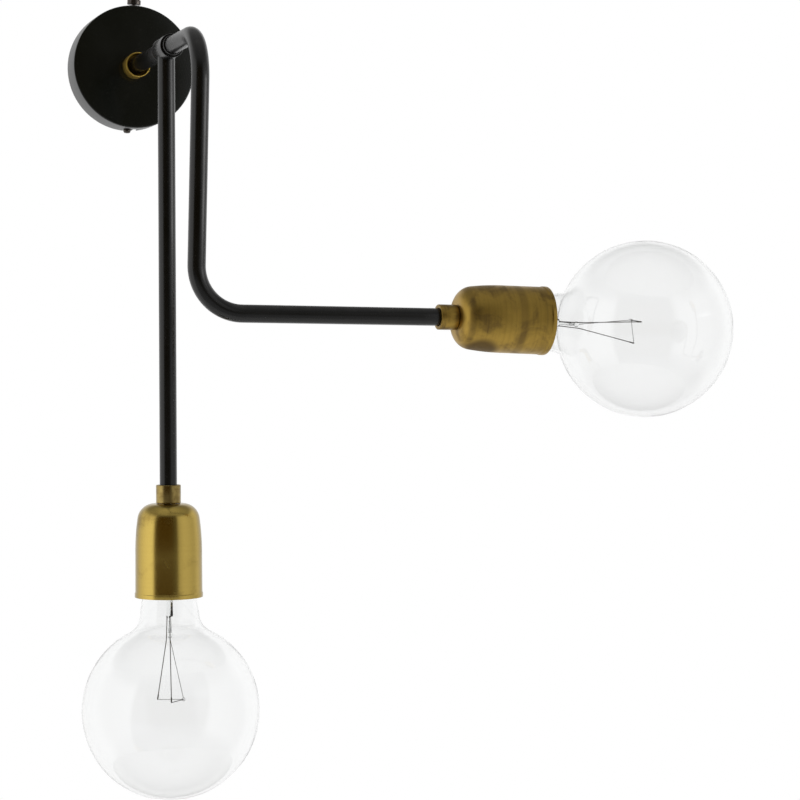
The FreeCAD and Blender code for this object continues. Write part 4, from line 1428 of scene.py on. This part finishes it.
@dataclass
class BulbSizes:
    """The sizes of a globe bulb, with heights measured from the tip of its centre contact."""

    seat: float = 29.0
    length: float = 177.6
    globe_radius: float = 61.9
    wall: float = 0.8
    base_radius: float = 12.4
    base_start: float = 23.5
    base_end: float = 27.0
    flare_mid: Point = (16.6, 30.6)
    neck_radius: float = 18.75
    neck_height: float = 36.0
    neck_taper_deg: float = 8.0
    fillet_radius: float = 13.0
    cap_radius: float = 13.1
    cap_height: float = 26.5
    cap_floor: float = 5.6
    cap_corner: Point = (0.6, 0.5)
    cap_wall: float = 0.3
    cap_floor_bore: float = 8.0
    cap_rim: Point = (0.1, 1.0)
    cap_flare: float = 0.2
    thread_pitch: float = 3.63
    thread_depth: float = 0.75
    thread_flat: float = 0.02
    thread_gaps: Point = (0.9, 2.0)
    thread_runout: float = 0.8
    mount_base: float = 25.0
    mount_radius: float = 11.5
    mount_flare_mid: Point = (5.6, 29.5)
    mount_gap: float = 0.001
    pinch_radius: float = 3.2
    pinch_start: float = 39.0
    pinch_end: float = 50.0
    pinch_edge: float = 0.8
    pinch_fade: float = 3.0
    pinch_squeeze: float = 0.35
    hollow_end: float = 36.0
    rod_radius: float = 1.2
    button_radius: float = 2.0
    button_height: float = 63.5
    wire_turn_deg: float = -18.6
    wire_side_deg: float = 60.0
    wire_radius: float = 0.32
    wire_start: Point = (2.0, 50.1)
    wire_knee: Point = (2.8, 66.5)
    wire_tip: Point = (10.5, 108.7)
    crimp_radius: float = 0.5
    crimp_length: float = 3.6
    sleeve_length: float = 1.8
    sleeve_lift: float = 1.0
    support_tip: tuple[float, float, float] = (-10.5, 0.0, 109.2)
    support_radius: float = 0.2
    support_sink: float = 0.3
    eye_radius: float = 1.1
    eye_wire_radius: float = 0.18
    coil_radius: float = 0.2
    coil_wire_radius: float = 0.07
    coil_pitch: float = 0.3

    @property
    def globe_height(self) -> float:
        """The height of the globe's centre."""
        return self.length - self.globe_radius


@dataclass
class LampHead:
    """A ferrule, a holder cup and a globe bulb at the end of an arm."""

    arm: str
    body: Body
    end: Vector
    ferrule_brass: BrassFinish
    cup_brass: BrassFinish
    bearing_deg: float = 0.0
    droop_deg: float = 0.0
    play_deg: float = 0.0
    settle: Matrix = field(default_factory=lambda: Matrix.Identity(4))
    holder: HolderSizes = field(default_factory=HolderSizes)
    bulb: BulbSizes = field(default_factory=BulbSizes)

    def fixed_place(self) -> Matrix:
        """Gives the place of a piece on the arm's own line."""
        return self.settle @ Matrix.Translation(self.end) @ turn(180.0 - self.bearing_deg, Y_AXIS)

    def cup_place(self) -> Matrix:
        """Gives the place of the cup, which hangs a little off the arm's line."""
        return self.fixed_place() @ turn(-self.droop_deg, Y_AXIS) @ shift(z=self.holder.seat_gap)

    def bulb_place(self) -> Matrix:
        """Gives the place of the bulb, which has some play in its holder.

        Returns:
            The matrix that takes it there from its own frame.
        """
        pivot = self.bulb.cap_height / 2.0
        play = shift(z=pivot) @ turn(-self.play_deg, Y_AXIS) @ shift(z=-pivot)
        return self.cup_place() @ shift(z=self.bulb.seat) @ play

    def wire_place(self) -> Matrix:
        """Gives the place of the mount and wires, which are turned about the bulb's axis."""
        return self.bulb_place() @ turn(self.bulb.wire_turn_deg, Z_AXIS)

    def piece(self, name: str, stands_for: str, slot: Slot, smooth_deg: float = SMOOTH_DEG) -> Piece:
        """Names one of the head's pieces, and the part that it stands for, after the arm."""
        return Piece(f"{self.arm}_{name}", self.body, slot, (f"{self.arm}_{stands_for}",), smooth_deg)

    def build(self) -> None:
        """Builds the head's visible pieces."""
        self.build_ferrule()
        self.build_cup()
        self.build_globe()
        self.build_cap()
        self.build_mount()
        self.build_leads()
        self.build_support()
        self.build_filament()

    def build_ferrule(self) -> None:
        """Builds the turned sleeve between the tube and the cup."""
        size = self.holder
        outer, upper, lower = size.ferrule_radius, size.ferrule_upper_bore, size.ferrule_lower_bore
        end, stop = -size.ferrule_length, -size.tube_stop
        sleeve = Turning(segments=80).lines((lower, 0.0), (outer, 0.0), (outer, end), (upper, end))
        mesh = soften(sleeve.lines((upper, stop), (lower, stop)).ring(), size.ferrule_edge, 3)
        self.piece("sleeve", "ferrule", Slot.BRASS).make(mesh, self.fixed_place(), self.ferrule_brass)

    def build_cup(self) -> None:
        """Builds the spun cup with its domed crown and plain lip."""
        size = self.holder
        start = size.cup_length - size.lip_height
        lip = [(size.lip_radius - inset, start + along) for inset, along in size.lip_points]
        cup = Turning(segments=128).lines((size.cup_hole, 0.0), (size.crown_radius, 0.0))
        cup.arc(*size.crown_arc, 14).arc(*size.side_arc, 10).lines(lip[0])
        cup.arc(lip[1], lip[2], 4).arc(lip[3], lip[4], 4).lines((size.lip_radius, size.cup_length))
        mesh = soften(cup.shell(size.cup_wall), size.cup_edge, 3, 50.0)
        piece = self.piece("cup", "holder_cup", Slot.BRASS, smooth_deg=45.0)
        piece.make(mesh, self.cup_place(), self.cup_brass)

    def build_globe(self) -> None:
        """Builds the blown globe and its neck as one thin wall."""
        size = self.bulb
        taper = math.radians(size.neck_taper_deg)
        across = Vector((math.cos(taper), -math.sin(taper)))
        along = Vector((math.sin(taper), math.cos(taper)))
        globe = Vector((0.0, size.globe_height))
        neck = Vector((size.neck_radius, size.neck_height))
        spoke = neck + across * size.fillet_radius - globe
        half = spoke.dot(along)
        reach = size.globe_radius + size.fillet_radius
        step = -half - math.sqrt(half**2 - (spoke.length_squared - reach**2))
        bend = globe + spoke + along * step
        to_globe = (globe - bend).normalized()
        middle = bend + (to_globe - across).normalized() * size.fillet_radius
        lean = size.globe_radius * DIAGONAL
        wall = Turning(segments=144)
        wall.lines((size.base_radius, size.base_start), (size.base_radius, size.base_end))
        wall.arc(size.flare_mid, tuple(neck), 8).lines(tuple(bend - across * size.fillet_radius))
        wall.arc(tuple(middle), tuple(bend + to_globe * size.fillet_radius), 12)
        wall.arc((lean, size.globe_height + lean), (0.0, size.length), 68)
        piece = self.piece("globe", "bulb_glass", Slot.GLASS, smooth_deg=60.0)
        piece.make(wall.shell(size.wall), self.bulb_place())

    def build_cap(self) -> None:
        """Builds the bulb's cap with its rolled thread."""
        size = self.bulb
        outer, root, floor = size.cap_radius, size.cap_radius - size.thread_depth, size.cap_floor
        inset, rise = size.cap_corner
        cap = Turning(segments=72)
        cap.lines((size.cap_floor_bore, floor), (root - inset, floor), (root, floor + rise))
        low, pitch = floor + size.thread_gaps[0], size.thread_pitch
        while low + pitch < size.cap_height - size.thread_gaps[1]:
            cap.lines((root, low)).arc((outer - size.thread_flat, low + pitch / 2.0), (root, low + pitch), 10)
            low += pitch
        rim, foot = outer - size.cap_rim[0], size.cap_height - size.cap_rim[1]
        cap.lines((rim, low + size.thread_runout), (rim, foot), (outer + size.cap_flare, size.cap_height))
        piece = self.piece("screw_cap", "bulb_cap", Slot.CAP, smooth_deg=45.0)
        piece.make(cap.shell(size.cap_wall), self.bulb_place())

    def build_mount(self) -> None:
        """Builds the flared glass stem, its pinch and the rod that ends in a button."""
        size = self.bulb
        base, pinch, thin, end = size.mount_radius, size.pinch_radius, size.rod_radius, size.pinch_end
        inner, lean, gap = base - size.wall, size.wall * DIAGONAL, size.mount_gap
        join = math.sqrt(size.button_radius**2 - thin**2)
        stem = Turning(segments=56).lines((inner, size.mount_base), (base, size.mount_base))
        stem.arc(size.mount_flare_mid, (pinch, size.pinch_start), 12)
        stem.lines((pinch, end - size.pinch_edge), (pinch - size.pinch_edge, end), (thin, end))
        stem.lines((thin, size.button_height - join))
        stem.arc((size.button_radius, size.button_height), (0.0, size.button_height + size.button_radius), 12)
        stem.lines((0.0, size.hollow_end), (pinch - size.wall, size.hollow_end))
        flare = size.mount_flare_mid
        stem.arc((flare[0] - lean, flare[1] - lean), (inner + gap, size.mount_base + gap), 12)
        mesh = stem.ring()
        for vert in mesh.verts:
            into = (vert.co.z - size.hollow_end) / (size.pinch_start - size.hollow_end)
            out = (end + size.pinch_fade - vert.co.z) / size.pinch_fade
            vert.co.x *= 1.0 - size.pinch_squeeze * max(0.0, min(1.0, into, out))
        piece = self.piece("glass_stem", "glass_mount", Slot.MOUNT_GLASS, smooth_deg=50.0)
        piece.make(mesh, self.wire_place())

    def on_wire(self, side: float, point: Point) -> Vector:
        """Gives a point of the lead wire on side 1 or -1, from the point's radius and height."""
        return turn(side * self.bulb.wire_side_deg, Z_AXIS) @ Vector((point[0], 0.0, point[1]))

    def build_leads(self) -> None:
        """Builds the two lead wires with their crimped tips and the sleeves at their feet."""
        size, parts = self.bulb, []
        for side in (1.0, -1.0):
            heights = (size.wire_start, size.wire_knee, size.wire_tip)
            start, knee, tip = (self.on_wire(side, at) for at in heights)
            line = [start, knee.lerp(start, 0.35), knee, knee.lerp(tip, 0.1), knee.lerp(tip, 0.5), tip]
            parts.append(wire(line, size.wire_radius))
            parts.append(crimp(tip, (tip - knee).normalized(), size.crimp_length, size.crimp_radius))
            sleeve_foot = start + Z_AXIS * size.sleeve_lift
            parts.append(crimp(sleeve_foot, Z_AXIS, size.sleeve_length, size.crimp_radius))
        self.piece("leads_in_bulb", "lead_wires", Slot.WIRE).make(merged(*parts), self.wire_place())

    def build_support(self) -> None:
        """Builds the support wire with the eye that the filament runs through."""
        size = self.bulb
        foot = Vector((0.0, 0.0, size.button_height + size.button_radius - size.support_sink))
        tip = Vector(size.support_tip)
        eye = bmesh.new()
        bmesh.ops.create_circle(eye, cap_ends=False, radius=size.eye_wire_radius, segments=10)
        eye.transform(shift(x=size.eye_radius) @ turn(90.0, X_AXIS))
        placed(revolve(eye, 28), Matrix.Translation(tip) @ turn(90.0, X_AXIS))
        end = tip - (tip - foot).normalized() * size.eye_radius
        stalk = wire([foot, foot.lerp(tip, 0.4), end], size.support_radius)
        piece = self.piece("support_wire", "filament_support", Slot.WIRE)
        piece.make(merged(stalk, eye), self.wire_place())

    def build_filament(self) -> None:
        """Builds the coiled filament, strung from one wire's tip through the eye to the other."""
        size = self.bulb
        section = (size.coil_radius, size.coil_wire_radius, size.coil_pitch)
        eye = Vector(size.support_tip)
        halves = [coil(self.on_wire(side, size.wire_tip), eye, *section) for side in (1.0, -1.0)]
        self.piece("coiled_filament", "filament", Slot.FILAMENT).make(merged(*halves), self.wire_place())


def wire(points: list[Vector], radius: float) -> BMesh:
    """Makes a round wire on a smooth line.

    Args:
        points: the control points of its line.
        radius: the wire's radius.

    Returns:
        The closed mesh of the wire.
    """
    data = bpy.data.curves.new("wire_line", "CURVE")
    data.dimensions = "3D"
    spline = data.splines.new("NURBS")
    spline.points.add(len(points) - 1)
    for point, place in zip(spline.points, points):
        point.co = (*place, 1.0)
    spline.order_u = 3
    spline.use_endpoint_u = True
    data.resolution_u = 10
    data.bevel_depth = radius
    data.bevel_resolution = 3
    data.use_fill_caps = True
    holder = bpy.data.objects.new("wire_line", data)
    mesh = bpy.data.meshes.new_from_object(holder)
    drawn = bmesh.new()
    drawn.from_mesh(mesh)
    bpy.data.objects.remove(holder)
    bpy.data.curves.remove(data)
    bpy.data.meshes.remove(mesh)
    bmesh.ops.remove_doubles(drawn, verts=drawn.verts[:], dist=WELD_MM)
    return outward(drawn)


def pointing(heading: Vector) -> Matrix:
    """Gives the turn that takes +Z to a heading."""
    return Z_AXIS.rotation_difference(heading).to_matrix().to_4x4()


def crimp(end: Vector, heading: Vector, length: float, radius: float) -> BMesh:
    """Makes the short, thicker piece that is pressed on a wire's end.

    Args:
        end: the wire's end.
        heading: the wire's direction at its end.
        length: the crimp's length, back from the end.
        radius: its radius.

    Returns:
        The closed mesh of the crimp.
    """
    place = Matrix.Translation(end - heading * (length / 2.0)) @ pointing(heading)
    return placed(soften(rod(radius, length, 16), radius * 0.4), place)


def coil(start: Vector, end: Vector, radius: float, wire_radius: float, pitch: float) -> BMesh:
    """Winds a fine coil between two points.

    Args:
        start: the middle of its first turn.
        end: the middle of its last turn.
        radius: the coil's radius at the wire's middle.
        wire_radius: the wire's radius.
        pitch: the length taken by one turn.

    Returns:
        The mesh of the coil.
    """
    span = end - start
    turns = span.length / pitch
    mesh = bmesh.new()
    bmesh.ops.create_circle(mesh, cap_ends=True, radius=wire_radius, segments=5)
    mesh.transform(shift(x=radius) @ turn(90.0, X_AXIS))
    wind(mesh, turns, span.length, int(turns * 10))
    return placed(mesh, Matrix.Translation(start) @ pointing(span.normalized()))


def dress_inner_nodes(frame: dict) -> None:
    """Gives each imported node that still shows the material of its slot, and small rounded edges.
    """
    for row in frame["record"]["subparts"]:
        node = frame["nodes"][row["node"]]
        if node.hide_render:
            continue
        node.data.materials.clear()
        node.data.materials.append(slot_material(row["material_slot"]))
        weld = node.modifiers.new("weld", "WELD")
        weld.merge_threshold = INNER_WELD_M
        edges = node.modifiers.new("soft_edges", "BEVEL")
        edges.width, edges.segments = INNER_EDGE_M, 2
        edges.limit_method, edges.angle_limit = "ANGLE", math.radians(INNER_SHARP_DEG)
        LOG.info("%s: kept, in %s", row["node"], row["material_slot"])


# Studio


@dataclass(frozen=True)
class SoftLight:
    """An area light, placed by how far it stands to the picture's right, towards the camera and above.

    Metal and glass mirror it only where mirrored says so: the side box shows along the upper tubes'
    right sides.
    """

    name: str
    power: float
    size: tuple[float, float]
    right: float
    back: float
    up: float
    middle: tuple[float, float, float] = (0.08, -0.12, -0.2)
    aim_up: float = 0.0
    shape: str = "DISK"
    spread_deg: float = 180.0
    mirrored: bool = False

    def hang(self, right: Vector, back: Vector) -> None:
        """Hangs the light and turns it to the lamp.

        Args:
            right: the level direction to the picture's right.
            back: the direction from the lamp to the camera.
        """
        data = bpy.data.lights.new(self.name, "AREA")
        data.shape, data.energy = self.shape, self.power
        data.size, data.size_y = self.size
        data.spread = math.radians(self.spread_deg)
        offset = right * self.right + back * self.back + Z_AXIS * self.up
        light = linked(self.name, data)
        light.location = Vector(self.middle) + offset
        light.rotation_mode = "QUATERNION"
        light.rotation_quaternion = (Z_AXIS * self.aim_up - offset).to_track_quat("-Z", "Y")
        light.visible_camera = light.visible_transmission = False
        light.visible_glossy = self.mirrored


SOFT_LIGHTS = (
    SoftLight("left_lamp", power=26.0, size=(1.4, 1.4), right=-1.6, back=1.2, up=0.8),
    SoftLight("right_lamp", power=10.0, size=(1.4, 1.4), right=1.9, back=0.6, up=0.4),
    SoftLight("top_lamp", power=14.0, size=(1.6, 1.6), right=0.0, back=0.3, up=2.0),
    SoftLight(
        "side_box",
        power=0.2,
        size=(0.62, 0.24),
        right=0.69,
        back=0.12,
        up=0.0,
        middle=(0.0, -0.17, 0.0),
        aim_up=0.1,
        shape="RECTANGLE",
        spread_deg=50.0,
        mirrored=True,
    ),
)


@dataclass
class Studio:
    """The camera, the soft lights, what metal and glass mirror, and the floor.

    The room's levels of light are given round the lamp, with 0 degrees towards the camera and 90 to the
    picture's right, and from -90 degrees straight down to 90 straight up.
    """

    aim: Vector = field(default_factory=lambda: Vector((0.17305, -0.120, -0.24554)))
    distance: float = 1.6
    bearing_deg: float = 19.38
    pitch_deg: float = -1.22
    roll_deg: float = -0.17
    focal_pixels: float = 2208.5
    frame_pixels: float = 800.0
    sensor_mm: float = 36.0
    clip: tuple[float, float] = (0.05, 50.0)
    floor_middle: tuple[float, float, float] = (0.08, -0.12, -1.5)
    floor_radius: float = 1.25
    floor_fade: tuple[float, float] = (0.45, 0.98)
    floor_colour: Colour = (0.86, 0.86, 0.85)
    floor_roughness: float = 0.8
    ambient: float = 0.45
    ceiling: tuple[float, float] = (0.42, 0.75)
    sides: tuple[tuple[float, Colour], ...] = (
        (-180.0, WHITE),
        (-51.0, WHITE),
        (-42.0, SHADE),
        (18.0, SHADE),
        (26.0, COOL_SHADE),
        (35.0, COOL_SHADE),
        (43.0, grey(0.50)),
        (60.0, grey(0.60)),
        (100.0, grey(0.56)),
        (130.0, WHITE),
    )
    ends: tuple[tuple[float, Colour], ...] = (
        (-90.0, grey(0.45)),
        (-14.0, grey(0.36)),
        (-5.0, BLACK),
        (30.0, BLACK),
        (50.0, grey(0.32)),
        (90.0, grey(0.42)),
    )

    def build(self) -> None:
        """Builds the camera, the world, the lights and the floor."""
        self.build_camera()
        self.build_world()
        for light in SOFT_LIGHTS:
            light.hang(self.rightward(), -self.looking())
        self.build_floor()
        bpy.context.scene.view_settings.view_transform = "Standard"

    def rightward(self) -> Vector:
        """Gives the level direction to the picture's right."""
        bearing = math.radians(self.bearing_deg)
        return Vector((math.cos(bearing), -math.sin(bearing), 0.0))

    def looking(self) -> Vector:
        """Gives the direction in which the camera looks."""
        bearing, pitch = math.radians(self.bearing_deg), math.radians(self.pitch_deg)
        level = math.cos(pitch)
        return Vector((math.sin(bearing) * level, math.cos(bearing) * level, math.sin(pitch)))

    def build_camera(self) -> None:
        """Sets up the camera at the photograph's view."""
        data = bpy.data.cameras.new("camera")
        data.sensor_width = self.sensor_mm
        data.lens = self.focal_pixels * self.sensor_mm / self.frame_pixels
        data.clip_start, data.clip_end = self.clip
        ahead, level, roll = self.looking(), self.rightward(), math.radians(self.roll_deg)
        upright = level.cross(ahead)
        right = level * math.cos(roll) + upright * math.sin(roll)
        up = upright * math.cos(roll) - level * math.sin(roll)
        place = Matrix.Identity(4)
        for column, axis in enumerate((right, up, -ahead)):
            place.col[column] = (*axis, 0.0)
        place.translation = self.aim - ahead * self.distance
        camera = linked("camera", data)
        camera.matrix_world = place
        bpy.context.scene.camera = camera

    def build_world(self) -> None:
        """Makes the world: white to the camera, a room with dark and light sides to metal and glass."""
        world = bpy.data.worlds.new("studio")
        bpy.context.scene.world = world
        world.use_nodes = True
        wiring = Wiring(world.node_tree)
        bearing = math.radians(self.bearing_deg)
        direction = wiring.put("ShaderNodeTexCoord").outputs["Generated"]
        towards = wiring.vectors("DOT_PRODUCT", direction, (-math.sin(bearing), -math.cos(bearing), 0.0))
        rightward = wiring.vectors("DOT_PRODUCT", direction, self.rightward())
        height = wiring.split(direction)["Z"]
        round_angle = wiring.maths("ARCTAN2", rightward, towards)
        round_share = wiring.maths("MULTIPLY_ADD", round_angle, 0.5 / math.pi, 0.5)
        up_share = wiring.maths("MULTIPLY_ADD", wiring.maths("ARCSINE", height), 1.0 / math.pi, 0.5)
        sides = self.levels(wiring, round_share, self.sides, 360.0)
        ends = self.levels(wiring, up_share, self.ends, 180.0)
        walls = wiring.vectors("MAXIMUM", sides, ends)
        mirrored = wiring.blend(wiring.ramp(height, *self.ceiling), walls, ends)
        path = wiring.put("ShaderNodeLightPath").outputs
        through = wiring.maths("MAXIMUM", path["Is Glossy Ray"], path["Is Transmission Ray"])
        around = wiring.blend(through, grey(self.ambient), mirrored)
        seen = wiring.blend(path["Is Camera Ray"], around, WHITE)
        wiring.fill(wiring.tree.nodes["Background"], {"Color": seen, "Strength": 1.0})

    @staticmethod
    def levels(
        wiring: Wiring, share: Socket, stops: tuple[tuple[float, Colour], ...], whole: float
    ) -> Socket:
        """Makes a ramp of light over an angle.

        Args:
            wiring: the world's wiring.
            share: the angle as a share of the whole, 0.5 at zero degrees.
            stops: pairs of an angle in degrees and the light's colour there.
            whole: the whole of the angle, in degrees.

        Returns:
            The socket of the light's colour.
        """
        node = wiring.put("ShaderNodeValToRGB", {"Fac": share})
        ramp = node.color_ramp
        ramp.interpolation = "EASE"
        ramp.elements.remove(ramp.elements[-1])
        for place, (angle, colour) in enumerate(stops):
            position = angle / whole + 0.5
            element = ramp.elements.new(position) if place else ramp.elements[0]
            element.position = position
            element.color = (*colour, 1.0)
        return node.outputs["Color"]

    def build_floor(self) -> None:
        """Lays a round pale floor far below the lamp, which fades into the white at its edge."""
        mesh = bmesh.new()
        bmesh.ops.create_circle(mesh, cap_ends=True, radius=self.floor_radius, segments=96)
        floor = linked("floor", to_data(placed(mesh, Matrix.Translation(self.floor_middle)), "floor"))
        material, wiring, shader = new_material("pale_floor")
        wiring.fill(shader, {"Base Color": self.floor_colour, "Roughness": self.floor_roughness})
        place = wiring.put("ShaderNodeTexCoord").outputs["Object"]
        from_middle = wiring.vectors("DISTANCE", place, self.floor_middle)
        start, end = (self.floor_radius * share for share in self.floor_fade)
        edge = wiring.ramp(from_middle, start, end)
        glow = wiring.put("ShaderNodeEmission", {"Color": WHITE, "Strength": 1.0})
        mask = wiring.maths("MULTIPLY", edge, wiring.put("ShaderNodeLightPath").outputs["Is Camera Ray"])
        mixed = wiring.put("ShaderNodeMixShader", {0: mask, 1: shader.outputs[0], 2: glow.outputs[0]})
        wiring.fill(wiring.tree.nodes["Material Output"], {"Surface": mixed.outputs[0]})
        floor.data.materials.append(material)


def main() -> None:
    """Builds the lamp's sub-assemblies in order, then the studio round them."""
    logging.basicConfig(level=logging.INFO, format="%(message)s")
    for leftover in list(bpy.data.objects):
        bpy.data.objects.remove(leftover)
    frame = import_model()
    build_groups()
    WallMount().build()
    straight_arm = StraightArm()
    straight_arm.build()
    bent_arm = BentArm()
    bent_arm.build()
    Swivel().build(bent_arm.settle())
    straight_end = Vector((0.0, -straight_arm.off_wall, -straight_arm.cup_top))
    LampHead("straight", Body.STRAIGHT, straight_end, STRAIGHT_FERRULE, STRAIGHT_CUP, play_deg=0.6).build()
    LampHead(
        "bent",
        Body.BENT,
        bent_arm.cup_top(),
        BENT_FERRULE,
        BENT_CUP,
        bearing_deg=90.0 + bent_arm.level_lift_deg,
        droop_deg=-1.2,
        play_deg=-1.6,
        settle=bent_arm.settle(),
        bulb=BulbSizes(seat=26.0, wire_turn_deg=-55.0),
    ).build()
    dress_inner_nodes(frame)
    Studio().build()


if __name__ == "__main__":
    main()
